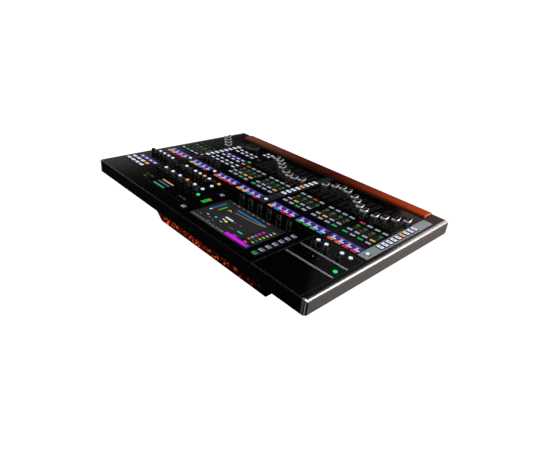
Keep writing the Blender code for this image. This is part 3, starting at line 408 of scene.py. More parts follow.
class Look:
    """A Principled material that is built up node by node."""

    def __init__(self, name, colour, roughness=0.5, metallic=0.0, coat=0.0):
        self.material = bpy.data.materials.new(name)
        self.material.use_nodes = True
        self.tree = self.material.node_tree
        self.shader = self.tree.nodes["Principled BSDF"]
        self.shader.inputs["Base Color"].default_value = (*colour, 1.0)
        self.shader.inputs["Roughness"].default_value = roughness
        self.shader.inputs["Metallic"].default_value = metallic
        self.shader.inputs["Coat Weight"].default_value = coat
        self.shader.inputs["Coat Roughness"].default_value = 0.08
        self.colour = colour
        self.roughness = roughness

    def node(self, kind, **settings):
        """A new node with its settings."""
        made = self.tree.nodes.new(kind)
        for key, value in settings.items():
            setattr(made, key, value)
        return made

    def link(self, start, end):
        """Join two sockets."""
        self.tree.links.new(start, end)

    def noise(self, scale, detail=3.0, stretch=(1.0, 1.0, 1.0)):
        """Noise in object space. scale is in features per metre."""
        place = self.node("ShaderNodeTexCoord")
        mapping = self.node("ShaderNodeMapping")
        mapping.inputs["Scale"].default_value = stretch
        made = self.node("ShaderNodeTexNoise")
        made.inputs["Scale"].default_value = scale
        made.inputs["Detail"].default_value = detail
        self.link(place.outputs["Object"], mapping.inputs["Vector"])
        self.link(mapping.outputs["Vector"], made.inputs["Vector"])
        return made.outputs["Fac"]

    def ramp(self, value, stops):
        """A colour ramp over a value. stops are (position, colour)."""
        made = self.node("ShaderNodeValToRGB")
        elements = made.color_ramp.elements
        while len(elements) < len(stops):
            elements.new(1.0)
        for element, (position, colour) in zip(elements, stops):
            element.position = position
            element.color = (*colour, 1.0)
        self.link(value, made.inputs["Fac"])
        return made.outputs["Color"]

    def between(self, value, low, high):
        """A value from 0 to 1 turned into one from low to high."""
        made = self.node("ShaderNodeMapRange")
        made.inputs["To Min"].default_value = low
        made.inputs["To Max"].default_value = high
        self.link(value, made.inputs["Value"])
        return made.outputs["Result"]

    def along(self, axis, start, end):
        """A value that goes from 0 to 1 between two places on an axis of the object."""
        place = self.node("ShaderNodeTexCoord")
        split = self.node("ShaderNodeSeparateXYZ")
        made = self.node("ShaderNodeMapRange")
        made.inputs["From Min"].default_value = start
        made.inputs["From Max"].default_value = end
        self.link(place.outputs["Object"], split.inputs["Vector"])
        self.link(split.outputs[axis], made.inputs["Value"])
        return made.outputs["Result"]

    def vary_colour(self, scale, amount, stretch=(1.0, 1.0, 1.0)):
        """Uneven colour, darker and lighter by amount."""
        dark = [channel * (1 - amount) for channel in self.colour]
        light = [channel * (1 + amount) for channel in self.colour]
        colour = self.ramp(self.noise(scale, 4.0, stretch), [(0.3, dark), (0.7, light)])
        self.link(colour, self.shader.inputs["Base Color"])
        return self

    def vary_roughness(self, scale, amount, stretch=(1.0, 1.0, 1.0)):
        """Uneven gloss, as from handling."""
        noise = self.noise(scale, 5.0, stretch)
        value = self.between(noise, self.roughness - amount, self.roughness + amount)
        self.link(value, self.shader.inputs["Roughness"])
        return self

    def specular(self, level):
        """How strongly the surface reflects: 0.5 is the usual level."""
        self.shader.inputs["Specular IOR Level"].default_value = level
        return self

    def fade(self, axis, start, end, colours):
        """A colour that changes through evenly spaced steps between two places on an axis."""
        stops = [(index / (len(colours) - 1), colour) for index, colour in enumerate(colours)]
        self.link(self.ramp(self.along(axis, start, end), stops), self.shader.inputs["Base Color"])
        return self

    def bump(self, scale, strength, distance=0.0002, detail=2.0, stretch=(1.0, 1.0, 1.0)):
        """Fine relief."""
        made = self.node("ShaderNodeBump")
        made.inputs["Strength"].default_value = strength
        made.inputs["Distance"].default_value = distance
        self.link(self.noise(scale, detail, stretch), made.inputs["Height"])
        self.link(made.outputs["Normal"], self.shader.inputs["Normal"])
        return self

    def glow(self, colour, strength):
        """Light given off evenly."""
        self.shader.inputs["Emission Color"].default_value = (*colour, 1.0)
        self.shader.inputs["Emission Strength"].default_value = strength
        return self

    def paint_amber_glow(self, scale, stops):
        """Amber light painted as glow on what faces the rear, in patches, fading out to the operator's left.
        """
        share = self.node("ShaderNodeMath", operation="MULTIPLY")
        self.link(self.along("X", *AMBER_FADE), share.inputs[0])
        self.link(self.along("Y", *AMBER_FACE), share.inputs[1])
        self.link(self.ramp(self.noise(scale, 6.0), stops), self.shader.inputs["Emission Color"])
        self.link(share.outputs["Value"], self.shader.inputs["Emission Strength"])
        return self

    def uneven_glow(self, colour, low, high, scale=90.0):
        """Light given off with patches."""
        self.glow(colour, high)
        self.link(self.between(self.noise(scale), low, high), self.shader.inputs["Emission Strength"])
        return self


def metal_looks():
    """The cheeks, their cut edges, the fader caps and other metal, by name."""
    along_y = (1.0, 0.1, 1.0)
    # Greys of the painted glint along the rear edge line, from left to right.
    edge_glint_greys = (0.045, 0.045, 0.004, 0.003, 0.004, 0.06, 0.18, 0.28, 0.34)
    return {
        # The cheek's colour lightens from front to rear: painted light.
        "cheek": Look("brushed_grey_painted_light", (0.36, 0.33, 0.315), 0.42, 0.75)
        .fade("Y", *CHEEK_SPAN, [(0.60, 0.55, 0.53), (0.74, 0.70, 0.67), (0.84, 0.82, 0.78)])
        .vary_roughness(160.0, 0.08, (1.0, 0.05, 1.0)).bump(900.0, 0.12, stretch=(1, 0.04, 1)),
        # The cut edge fades from white at the front to near black at the rear: a painted highlight and
        # painted shade.
        "edge": Look("cut_edge_painted_light", (0.30, 0.295, 0.29), 0.35, 0.6)
        .fade("Y", *CHEEK_SPAN, [(1.0, 0.98, 0.96), (0.10, 0.10, 0.10), (0.012, 0.012, 0.012)])
        .vary_roughness(300.0, 0.06, along_y),
        "lower_edge": Look("cut_edge_lower", (0.17, 0.165, 0.16), 0.45, 0.4)
        .vary_roughness(300.0, 0.06, along_y),
        # The rim is near white, brightest at the front, with a faint glow: a painted highlight.
        "rim": Look("cut_edge_rim_painted_highlight", (0.94, 0.94, 0.93), 0.3, 0.7)
        .fade("Y", *CHEEK_SPAN, [(1.0, 1.0, 0.99), (0.90, 0.91, 0.90), (0.55, 0.55, 0.54)])
        .glow((1.0, 0.99, 0.97), 0.12).vary_roughness(300.0, 0.05, along_y),
        # The silver of the fader caps glows faintly: a painted highlight.
        "silver": Look("fader_silver_painted_highlight", (0.92, 0.91, 0.90), 0.3, 0.5).glow((1.0, 1.0, 0.98), 0.14)
        .vary_roughness(500.0, 0.06, (0.1, 1.0, 1.0)).bump(2500.0, 0.03),
        "lip": Look("fader_lip", (0.56, 0.55, 0.545), 0.4, 0.2)
        .vary_roughness(500.0, 0.06).bump(2500.0, 0.03),
        # The fader body's colour is streaked up and down in lighter grey: painted reflections.
        "smoke": Look("fader_body_painted_streaks", (0.17, 0.17, 0.165), 0.3, 0.4)
        .vary_colour(700.0, 0.9, (1.0, 1.0, 0.08)),
        "steel": Look("zinc_steel", (0.42, 0.43, 0.45), 0.38, 1.0)
        .vary_colour(45.0, 0.15).vary_roughness(80.0, 0.1),
        "pin": Look("contact_metal", (0.75, 0.68, 0.5), 0.25, 1.0).vary_roughness(900.0, 0.08),
        # The connector shells carry the painted amber light too.
        "shell": Look("connector_shell", (0.10, 0.09, 0.085), 0.3, 1.0)
        .vary_roughness(500.0, 0.1).paint_amber_glow(150.0, AMBER_RING),
        # The ridge strips fade from bright at the left to dark at the right: a painted highlight.
        "ridge_painted_highlight": Look("ridge_painted_highlight", (0.3, 0.3, 0.31), 0.38, 0.3)
        .fade("X", -0.41, -0.25, [(0.60, 0.66, 0.76), (0.12, 0.13, 0.15)]),
        # The rear edge line's grey changes along X, darkest in the middle and lightest at the right end: a
        # painted glint.
        "edge_line": Look("rear_edge_painted_glint", (0.1, 0.1, 0.1), 0.4)
        .fade("X", -0.40, 0.40, [(grey, grey, grey) for grey in edge_glint_greys]),
    }


def dark_looks():
    """Paint, glass, plastic, rubber and boards, by name."""
    return {
        "deck": Look("deck_gloss_black", (0.0015, 0.0014, 0.0015), 0.10).specular(0.38)
        .vary_roughness(9.0, 0.03).bump(2600.0, 0.03),
        "satin": Look("satin_black", (0.0035, 0.0034, 0.0033), 0.55).specular(0.12)
        .vary_roughness(14.0, 0.08).bump(3200.0, 0.2),
        # The rear wall glows amber in patches though it is no lamp: painted light.
        "painted_amber_glow": Look("rear_wall_painted_amber_glow", (0.004, 0.0035, 0.0035), 0.5).specular(0.15)
        .paint_amber_glow(120.0, AMBER_WALL),
        "glass": Look("screen_glass", (0.0015, 0.0015, 0.0017), 0.06).vary_roughness(7.0, 0.02),
        # Lighter grey for the knobs' rib crests: a painted highlight.
        "rib_crest_highlight": Look("knob_rib_painted_highlight", (0.13, 0.125, 0.12), 0.3).vary_colour(500.0, 0.5),
        "rubber": Look("knob_rubber", (0.008, 0.008, 0.0085), 0.24)
        .vary_colour(300.0, 0.2).bump(4200.0, 0.15),
        "plastic": Look("black_plastic", (0.006, 0.006, 0.0065), 0.3)
        .vary_roughness(40.0, 0.08).bump(2800.0, 0.1),
        "mat": Look("key_mat", (0.004, 0.004, 0.0045), 0.5)
        .vary_roughness(50.0, 0.06).bump(3000.0, 0.1),
        "key_body": Look("key_body", (0.006, 0.006, 0.008), 0.4)
        .vary_roughness(90.0, 0.06).bump(3000.0, 0.1),
        "legend": Look("key_legend", (0.035, 0.035, 0.05), 0.5).vary_colour(800.0, 0.1),
        "scoop": Look("fader_scoop", (0.012, 0.010, 0.009), 0.3).vary_roughness(400.0, 0.06),
        "hollow": Look("connector_hollow", (0.004, 0.004, 0.004), 0.7).bump(1500.0, 0.2),
        "board": Look("circuit_green", (0.004, 0.022, 0.013), 0.4)
        .vary_colour(220.0, 0.35).bump(700.0, 0.3),
        "feet": Look("foot_rubber", (0.012, 0.012, 0.012), 0.85).bump(1800.0, 0.5),
        "wood": mahogany(),
        # A pale pink for the armrest's left end band: a painted highlight.
        "wood_end_highlight": Look("mahogany_end_painted_highlight", (1.0, 0.74, 0.64), 0.4)
        .vary_colour(300.0, 0.15, (1.0, 0.3, 0.3)),
    }


def make_looks():
    """Every material, by name."""
    looks = metal_looks() | dark_looks()
    for name, colour in PRINT_LOOKS.items():
        look = Look(name, colour, 0.38).specular(0.15)
        looks[name] = look.vary_colour(250.0, 0.08).vary_roughness(60.0, 0.06)
    for name, colour, low, high in KEY_LOOKS.values():
        body = tuple(channel * 0.3 for channel in colour)
        looks[name] = Look(name, body, 0.35).uneven_glow(colour, low, high, 400.0)
    for name, (colour, strength) in LIT_LOOKS.items():
        body = Look(name, (0.01, 0.01, 0.01), 0.14)
        looks[name] = body.uneven_glow(colour, strength * 0.8, strength * 1.1)
    return {name: look.material for name, look in looks.items()}


def mahogany():
    """Varnished mahogany: grain along X, with painted light that lightens it towards the operator's left,
    painted shade in the middle, and a painted sheen towards the right end.
    """
    look = Look("mahogany", (0.3, 0.08, 0.03), 0.4, coat=0.04).specular(0.08)
    fine = look.noise(210.0, 6.0, (0.03, 1.0, 1.0))
    broad = look.noise(26.0, 3.0, (0.12, 1.0, 1.0))
    mix = look.node("ShaderNodeMath", operation="MULTIPLY_ADD")
    look.link(fine, mix.inputs[0])
    mix.inputs[1].default_value = 0.55
    look.link(look.between(broad, 0.0, 0.45), mix.inputs[2])
    grain = mix.outputs["Value"]
    # The same grain under painted shade (dark) and painted light (light), mixed along X.
    dark = look.ramp(grain, [(0.28, (0.075, 0.007, 0.0015)), (0.68, (0.15, 0.017, 0.004))])
    light = look.ramp(grain, [(0.28, (0.45, 0.050, 0.008)), (0.68, (0.78, 0.096, 0.018))])
    painted_light_mix = look.node("ShaderNodeMix", data_type="RGBA")
    look.link(look.along("X", -0.40, -0.05), painted_light_mix.inputs["Factor"])
    look.link(light, painted_light_mix.inputs[6])
    look.link(dark, painted_light_mix.inputs[7])
    # A pinkish painted sheen towards the right end.
    sheen = look.node("ShaderNodeMix", data_type="RGBA")
    look.link(look.along("X", 0.06, 0.38), sheen.inputs["Factor"])
    look.link(painted_light_mix.outputs[2], sheen.inputs[6])
    sheen.inputs[7].default_value = (0.30, 0.10, 0.055, 1.0)
    look.link(sheen.outputs[2], look.shader.inputs["Base Color"])
    look.vary_roughness(120.0, 0.07, (0.05, 1.0, 1.0))
    return look.bump(420.0, 0.18, 0.0002, 4.0, (0.03, 1.0, 1.0))


LOOKS = make_looks()


def dress(node, look):
    """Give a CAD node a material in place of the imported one."""
    materials = NODES[node].data.materials
    materials.clear()
    materials.append(LOOKS[look])


# Keys --------------------------------------------------------------------------------------------

def key_cap(mesh, area, top, rim, lit, dark):
    """A cap over one CAD key: a dark body with soft edges, and a lit window in a shallow dish."""
    width = area.width + 2 * CAP_GROWTH
    depth = area.depth + 2 * CAP_GROWTH

    def outline(inset, end_inset):
        if area.is_round:
            return circle(area.u, area.v, width / 2 - inset)
        radius = max(0.4, 1.6 - inset)
        return rounded(area.u, area.v, width - 2 * inset, depth - 2 * end_inset, radius)

    foot = outline(0.0, 0.0)
    rings = [
        (foot, 0.05), (foot, top - 0.8), (outline(0.25, 0.25), top - 0.25),
        (outline(0.6, 0.6), top), (outline(rim, rim * 0.7), top - CAP_DISH),
    ]
    loft(mesh, rings, lit if area.is_round else dark, lit)


def key_legend(mesh, area, top, rim, share, look):
    """A plain darker bar on a key, in place of its legend."""
    half = (area.width / 2 - rim) * share
    reach = (area.depth / 2 - rim * 0.7) * share
    dish = top - CAP_DISH
    outline = rounded(area.u, area.v - reach * 0.3, 2 * half, 2 * reach * 0.55, 0.3)
    slab_block(mesh, outline, dish - 0.1, dish + 0.03, look)


def make_keys(node, colours):
    """The caps of one mat. colours gives each area's colour letter."""
    letters = list(KEY_LOOKS)
    names = [KEY_LOOKS[letter][0] for letter in letters] + ["legend", "key_body"]
    top = span(node)[1].z + CAP_RISE
    mesh = bmesh.new()
    for area, letter in colours:
        rim = rim_width(node, area)
        key_cap(mesh, area, top, rim, letters.index(letter), names.index("key_body"))
        if not area.is_round and letter != DARK:
            share = 0.85 if node == "screen_and_monitor_keys" else 0.5
            key_legend(mesh, area, top, rim, share, names.index("legend"))
    piece(node + "_caps", mesh, names, body=node, smooth=50.0)
    dress(node, "mat")


def rim_width(node, area):
    """How wide the dark frame of a key is: it differs from section to section."""
    if area.is_round:
        return ROUND_RIM
    if area.width > COLUMN_KEY_WIDTH:
        return COLUMN_RIM
    if node == "right_bank_keys" and area.u < USER_SECTION_END:
        return USER_RIM
    return STRIP_RIM


def bank_areas(node):
    """A bank's key areas in three lists: its column of wide keys, its round keys and the rest."""
    found = areas(node)
    wide = max(area.width for area in found) - 0.5
    rounds = [area for area in found if area.is_round]
    column = [area for area in found if area.width > wide and not area.is_round]
    return column, rounds, [area for area in found if area.width <= wide and not area.is_round]


def bank_colours(node):
    """Colours for a bank mat: its column, its round keys and its rows."""
    column, rounds, rest = bank_areas(node)
    small = [area for area in rest if area.depth > area.width * 0.7]
    rows = rows_of([area for area in rest if area not in small])
    colours = list(zip(column, COLUMN_KEYS[node])) + [(area, BRIGHT) for area in rounds + small]
    return colours + row_colours(rows, BANK_ROWS[node])


def row_colours(rows, patterns):
    """Each area in the rows with its colour letter."""
    return [pair for row, pattern in zip(rows, patterns) for pair in zip(row, pattern)]


def make_all_keys():
    """Caps for all five mats."""
    for node in BANK_ROWS:
        make_keys(node, bank_colours(node))
    found = areas("screen_and_monitor_keys")
    screen = [area for area in found if not area.is_round]
    rounds = [area for area in found if area.is_round]
    first = min(screen, key=lambda area: area.u - area.v)
    colours = [(area, GREEN if area is first else WHITE) for area in screen]
    colours += [(area, LIME if area is rounds[0] else BRIGHT) for area in rounds]
    make_keys("screen_and_monitor_keys", colours)
    found = areas("channel_and_custom_keys")
    rounds = rows_of([area for area in found if area.is_round], reach=1.5)
    boxes = rows_of([area for area in found if not area.is_round])
    colours = row_colours(rounds, CHANNEL_ROUND_ROWS) + row_colours(boxes, CHANNEL_BOX_ROWS)
    make_keys("channel_and_custom_keys", colours)


# Displays ----------------------------------------------------------------------------------------

def make_group_displays():
    """The seven group displays with their cells and colour bars."""
    names = ["lit_indigo", "lit_violet", "lit_lavender", "lit_white"] + sorted(set(BAR_LOOKS.values()))
    bars = [area for area in areas("display_board", 0.3) if area.corners == 4]
    bases = [area for area in areas("display_board", -0.3) if area.width > GROUP_WIDTH]
    bases.sort(key=lambda area: area.u)
    mesh = bmesh.new()
    for base, pattern in zip(bases, BAR_ROWS):
        inside = [area for area in bars if base.left < area.u < base.right]
        inside.sort(key=lambda area: area.u)
        split = inside[0].low - 0.6
        bar(mesh, base.left, base.right, base.low, split, -0.25, 0.02)
        for area, letter in zip(inside, pattern):
            outline = rounded(area.u, area.v, area.width - 1.0, area.depth - 0.6, 2.4)
            slab_block(mesh, outline, 0.0, 0.45, names.index(BAR_LOOKS[letter]))
            display_cell(mesh, area.u, base.low + 0.6, split - 0.4, CELL_HALF)
    piece("group_displays", mesh, names)


def display_cell(mesh, u, low, high, half):
    """One strip's share of a group display: a tinted field with bright and dark blocks on it."""
    depth = high - low
    bar(mesh, u - half, u + half, low, high, 0.0, 0.06, 1)
    for left, right, front, rear, look in (
            (-1.0, 0.62, 0.70, 0.97, 2), (-0.92, 0.30, 0.74, 0.93, 3), (0.40, 0.95, 0.45, 0.92, 0),
            (-0.15, 0.34, 0.36, 0.60, 3), (-0.95, -0.35, 0.30, 0.62, 0), (-0.20, 0.80, 0.12, 0.28, 2),
            (-0.90, -0.40, 0.06, 0.20, 0)):
        ends = (low + depth * front, low + depth * rear)
        bar(mesh, u + half * left, u + half * right, *ends, 0.04, 0.08 + 0.01 * look, look)


def make_meters():
    """The strip meters: a lit green window, a dark ladder over it and a peak lamp on some strips."""
    green, off, mark, lamp = range(4)
    mesh = bmesh.new()
    found = [area for area in areas("display_board", 0.2) if area.depth > area.width]
    for index, area in enumerate(sorted(found, key=lambda area: area.u)):
        u, low = area.u, area.low
        slab_block(mesh, rounded(u, low + 5.4, area.width, 10.0, 2.0), 0.1, 0.40, green)
        for step in range(3):
            line = low + 2.6 + 2.8 * step
            bar(mesh, u - 3.6, u + 3.6, line - 0.25, line + 0.25, 0.3, 0.46, off)
        for step in range(6):
            rung = low + 12.0 + 3.2 * step
            bar(mesh, u - 2.2, u + 2.2, rung, rung + 2.2, 0.1, 0.34, off)
        bar(mesh, u - 3.6, u - 2.8, low + 11.6, area.high - 2.0, 0.1, 0.36, mark)
        bar(mesh, area.left + 0.2, area.left + 4.4, low + 11.2, low + 12.4, 0.1, 0.38, mark)
        if index % 5 in (1, 2, 4):
            spot = circle(u + 2.6, low + 17.0 + 3.0 * (index % 3), 1.5, 12)
            slab_block(mesh, spot, 0.1, 0.45, lamp)
    piece("strip_meters", mesh, ("meter_green", "meter_off", "meter_mark", "lit_orange"))


def make_lone_displays():
    """The displays that stand alone: user, custom and the channel section's bars and lamps."""
    names = ["lit_indigo", "lit_lavender", "lit_violet", "lit_white", "lit_green", "lit_yellow", "lit_teal",
             "lit_red", "lit_grey", "screen_dark"]
    mesh = bmesh.new()
    for area in areas("display_board", -0.2):
        field = area.inset(0.4)
        back = names.index("lit_indigo" if area.width > BAR_WIDTH else "screen_dark")
        bar(mesh, field.left, field.right, field.low, field.high, -0.15, 0.03, back)
        if area.width > GROUP_WIDTH:
            quarter = field.width / 4
            for index in range(4):
                middle = field.left + quarter * (index + 0.5)
                display_lamp(mesh, middle, field.v, quarter - 1.6, field.depth - 1.4, 2)
                display_lamp(mesh, middle - 3.0, field.v + 1.0, quarter * 0.4, field.depth * 0.45, 3)
                display_lamp(mesh, middle, field.low + 2.4, quarter - 5.0, 1.8, 1)
        elif area.width > BAR_WIDTH:
            channel_bar(mesh, field, names)
        else:
            lamp_row(mesh, field, names)
    piece("section_displays", mesh, names)


def display_lamp(mesh, u, v, width, depth, look):
    """A small lit rectangle. Each material has its own height, so that none share a surface."""
    half, reach = width / 2, depth / 2
    bar(mesh, u - half, u + half, v - reach, v + reach, 0.0, 0.1 + 0.01 * look, look)


def channel_bar(mesh, field, names):
    """A lit bar of the channel section: green at the rear, a blue and grey one, and a yellow one."""
    front, rear = BAR_BORDERS
    if field.v > rear or field.v < front:
        look = names.index("lit_green" if field.v > rear else "lit_yellow")
        display_lamp(mesh, field.u, field.v, field.width - 2.0, field.depth - 2.5, look)
        return
    for index in range(6):
        look = names.index("lit_teal" if index % 3 == 1 else "lit_grey")
        display_lamp(mesh, field.left + 5.0 + 9.0 * index, field.v, 6.5, field.depth - 3.0, look)


def lamp_row(mesh, field, names):
    """A row of small lamps, most of them dim."""
    count = int(field.width // 6)
    for index in range(count):
        name = "lit_red" if index == count - 2 else "lit_green" if index == 1 else "screen_dark"
        display_lamp(mesh, field.left + 6.0 * (index + 0.5), field.v, 3.2, 2.6, names.index(name))


# Touch screen ------------------------------------------------------------------------------------

def make_screen():
    """The picture on the touch screen: a generic mixer page of bars, dots, a curve and rows of marks."""
    names = ["screen_grey", "screen_mid", "screen_dark", "lit_white", "lit_grey", "lit_tan"]
    names += sorted({mark[4] for mark in SCREEN_MARKS} - set(names)) + ["lit_teal"]
    screen = next(area for area in areas("display_board", -3.3) if area.width > 100)
    width, depth = screen.width, screen.depth
    mesh = bmesh.new()
    base = 0.25

    def mark(left, right, low, high, name, lift=0.05):
        """A lit rectangle, placed like those in SCREEN_MARKS."""
        across = [screen.left + (place if place >= 0 else width + place) for place in (left, right)]
        along = [screen.low + (place if place >= 0 else depth + place) for place in (low, high)]
        bar(mesh, *across, *along, base, base + lift, names.index(name))

    def dot(across, along, name, radius=3.6):
        """A lit dot, in mm from the screen's left front corner."""
        outline = circle(screen.left + across, screen.low + along, radius, 16)
        slab_block(mesh, outline, base, base + 0.1, names.index(name))

    mark(0, width, 0, depth, "screen_dark", 0.01)
    for values in SCREEN_MARKS:
        mark(*values)
    for row in range(9):
        mark(50, -60, 24 + 9 * row, 24.5 + 9 * row, "screen_mid", 0.03)
    for column in range(14):
        mark(52 + 8 * column, 52.5 + 8 * column, 20, 100, "screen_mid", 0.03)
    for index in range(7):
        mark(124 + 13 * index, 131.5 + 13 * index, -10, -6.5, "lit_grey")
    for index, (across, along) in enumerate(SCREEN_LABELS):
        mark(across, across + 9, along, along + 2.2, "lit_white" if index % 3 == 0 else "lit_grey")
    for name, along in SCREEN_DOTS:
        dot(31, along, name)
    for index, name in enumerate(SCREEN_COLUMN):
        along = 98 - 11.5 * index
        mark(9.5, 16.5, along - 1.8, along + 1.8, name)
        mark(18.5, 21.0, along - 1.2, along + 1.2, "lit_grey")
    dot(158, 93, "lit_cyan", 3.2)
    for step in range(9):
        turn = math.pi * (-0.05 + 0.12 * step)
        dot(164 + 4.6 * math.cos(turn), 45 - 4.6 * math.sin(turn), "lit_lime", 1.3)
    for step in range(34):
        share = step / 33
        across = 148 - 97 * share
        along = 39 - 7 * share - 6 * max(0.0, share - 0.72) / 0.28
        thick = 2.2 + 2.4 * max(0.0, share - 0.6)
        mark(across - 3.2, across, along - thick, along, "lit_tan", 0.1)
    for index in range(8):
        mark(52 + 19 * index, 62 + 19 * index, 6, 9, "lit_grey" if index % 3 else "lit_tan")
    piece("screen_picture", mesh, names)


def make_screen_meter():
    """The tall level meter beside the screen, green with a red tip."""
    meter = min(areas("display_board", -3.3), key=lambda area: area.width)
    mesh = bmesh.new()
    count = 12
    pitch = meter.depth / count
    for side in (-1, 1):
        middle = meter.u + side * meter.width / 4
        for step in range(count):
            low = meter.low + pitch * step
            look = 1 if step == 0 else 0
            bar(mesh, middle - 3.4, middle + 3.4, low + 0.25, low + pitch - 0.25, 0.21, 0.32, look)
    piece("screen_meter", mesh, ("lit_green", "lit_red"))


# Knobs, wheel and faders -------------------------------------------------------------------------

def knob_mesh():
    """A ribbed rubber knob around the origin, with a domed top, a light mark and painted highlights on its
    rib crests.
    """
    mesh = bmesh.new()
    height, radius, base = KNOB_HEIGHT, KNOB_RADIUS, KNOB_BASE
    profile = [
        (STEM_RADIUS, STEM_FOOT), (STEM_RADIUS, base - 0.05), (radius, base), (radius, base + 1.6),
        (radius - 0.3, base + 2.1), (radius - 0.45, height * 0.45), (radius - 0.75, height - 2.0),
        (radius - 1.0, height - 0.8), (radius - 1.6, height - 0.15), (radius - 3.2, height),
        (0.6, height - 0.1),
    ]
    span_of_ribs = (base + 2.0, height - 1.9)
    turned(mesh, profile, segments=96, ribs=KNOB_RIBS, rib_depth=0.35, rib_span=span_of_ribs)
    # Rib crests high on the side get the lighter grey: painted highlight streaks.
    for face in mesh.faces:
        middle = face.calc_center_median()
        on_crest = math.cos(KNOB_RIBS * math.atan2(middle.y, middle.x)) > 0
        if on_crest and height * 0.4 < middle.z < height - 1.5 and middle.xy.length > radius - 1.5:
            face.material_index = 2
    bar(mesh, -0.45, 0.45, radius - 4.6, radius - 1.5, height - 0.35, height + 0.04, 1)
    return finished("knob", mesh, Matrix.Scale(MM, 4), ("rubber", "print_grey", "rib_crest_highlight"), 40.0)


def random_spin():
    """A turn by chance, so that the knobs' marks don't line up."""
    return Matrix.Rotation(random.uniform(-KNOB_SPIN, KNOB_SPIN), 4, "Z")


def make_turning_knobs(data):
    """The knobs that turn, each on its own body."""
    for name in sorted(node for node in NODES if "knob" in node):
        place = Matrix.Translation(JOINTS[name + "_turn"]["pos_m"])
        matrix = place @ SLAB_TURN @ random_spin()
        settle(name + "_cap", data, matrix, name, (name,))


def make_fixed_knobs(data):
    """The encoder knobs that are one solid with their boards."""
    for node in ENCODER_BOARDS:
        for index, area in enumerate(areas(node)):
            place = Matrix.Translation(SLAB @ Vector((area.u, area.v, 0.0)))
            replaced = (node,) if index == 0 else ()
            matrix = place @ SLAB_TURN @ random_spin()
            settle(f"{node}_knob_{index + 1}", data, matrix, CONSOLE, replaced)


def make_jog_wheel():
    """The jog wheel: a bright rim, a satin face and a finger dimple."""
    middle = knob_spot("jog_wheel")
    spots = spots_of("jog_wheel")
    height = max(spot.z for spot in spots)
    radius = max((spot - middle).xy.length for spot in spots)
    mesh = bmesh.new()
    profile = [
        (STEM_RADIUS, STEM_FOOT), (STEM_RADIUS, 0.55), (radius - 0.4, 0.6), (radius, 1.2),
        (radius, height - 2.2), (radius - 0.5, height - 0.8), (radius - 1.8, height - 0.1),
        (radius - 4.2, height), (radius - 5.5, height - 0.7), (radius - 8.0, height - 1.7),
        (radius - 15.0, height - 2.3), (0.8, height - 2.4),
    ]
    turned(mesh, profile, middle.x, middle.y, 96, 0, 60, 0.3, (1.3, height - 2.0))
    dimple = [(0.8, -2.7), (4.6, -2.6), (5.4, -1.6), (4.9, -1.5), (1.0, -2.1)]
    dimple = [(across, height + lift) for across, lift in dimple]
    turned(mesh, dimple, middle.x + radius * 0.4, middle.y + radius * 0.3, 32, 1)
    piece("jog_wheel_face", mesh, ("plastic", "smoke"), body="jog_wheel", smooth=35.0,
          replaces=("jog_wheel",))


def scoop_profile(half, height):
    """The top line of a fader cap from the rear lip to the front lip: flat lips around a deep scoop."""
    reach = half - SCOOP_LIP
    points = [(half - 2.0, height - 0.4), (half - 2.6, height)]
    for step in range(15):
        turn = math.pi * step / 14
        points.append((reach * math.cos(turn), height - 0.2 - SCOOP_DEPTH * math.sin(turn)))
    return points + [(2.6 - half, height), (2.0 - half, height - 0.4)]


def cap_head(mesh, half_width, half, low, height):
    """The scooped head of a fader cap, with a slanted rim along both sides of the scoop. Only the rim on the
    operator's left is silver, a painted highlight; the rim on the right takes the dark body colour.
    """
    silver, smoke, scoop, lip = range(4)
    top = scoop_profile(half, height)
    flanks = [(-half, height - 4.4), (0.6 - half, low), (half - 0.6, low), (half, height - 4.4)]
    stations = [(-half_width, CAP_RIM), (CAP_RIM - half_width, 0.0)]
    stations += [(-u, drop) for u, drop in reversed(stations)]
    loops = []
    for u, drop in stations:
        share = 1 - 0.4 * drop / half
        line = [(v * share, w - drop) for v, w in top] + [(v * share, w) for v, w in flanks]
        loops.append([mesh.verts.new((u, v, w)) for v, w in line])

    # The left rim is silver as a painted highlight, the middle is the dark scoop and the right rim is the
    # dark body.
    def pick(station, index):
        return lip if index < 2 or index > len(top) - 1 else (silver, scoop, smoke)[station]

    skin(mesh, loops, pick)
    for end in (loops[0], loops[-1]):
        mesh.faces.new(end).material_index = smoke


def fader_cap_mesh(half_width, half, base, height):
    """A cap around its origin: a smoky body with painted reflection streaks under a scooped head with a
    painted highlight on its left rim, its stem and its carriage.
    """
    mesh = bmesh.new()
    low = height - HEAD_DEPTH
    foot = rounded(0.0, 0.0, 2 * half_width - 1.6, 2 * half - 3.0, 1.6)
    neck = rounded(0.0, 0.0, 2 * half_width - 3.0, 2 * half - 5.4, 1.4)
    loft(mesh, [(foot, base), (foot, base + 1.0), (neck, low + 0.4)], 1)
    cap_head(mesh, half_width, half, low, height)
    bar(mesh, -0.8, 0.8, -4.0, 4.0, -12.9, base + 0.4, 1)
    slab_block(mesh, rounded(0.0, 0.0, 12.0, 16.0, 1.0), -19.0, -13.0, 1)
    return finished("fader_cap", mesh, Matrix.Scale(MM, 4), ("silver", "smoke", "scoop", "lip"), 38.0)


def fader_spots():
    """Each fader's name, its u, its v at rest and the middle of its travel, in the slab's frame."""
    spots = []
    for name in sorted(node for node in NODES if node + "_slide" in JOINTS):
        low, high = span(name)
        v = (low.y + high.y) / 2
        travel = JOINTS[name + "_slide"]["range_m"]
        spots.append((name, (low.x + high.x) / 2, v, v + sum(travel) / 2 / MM))
    return spots


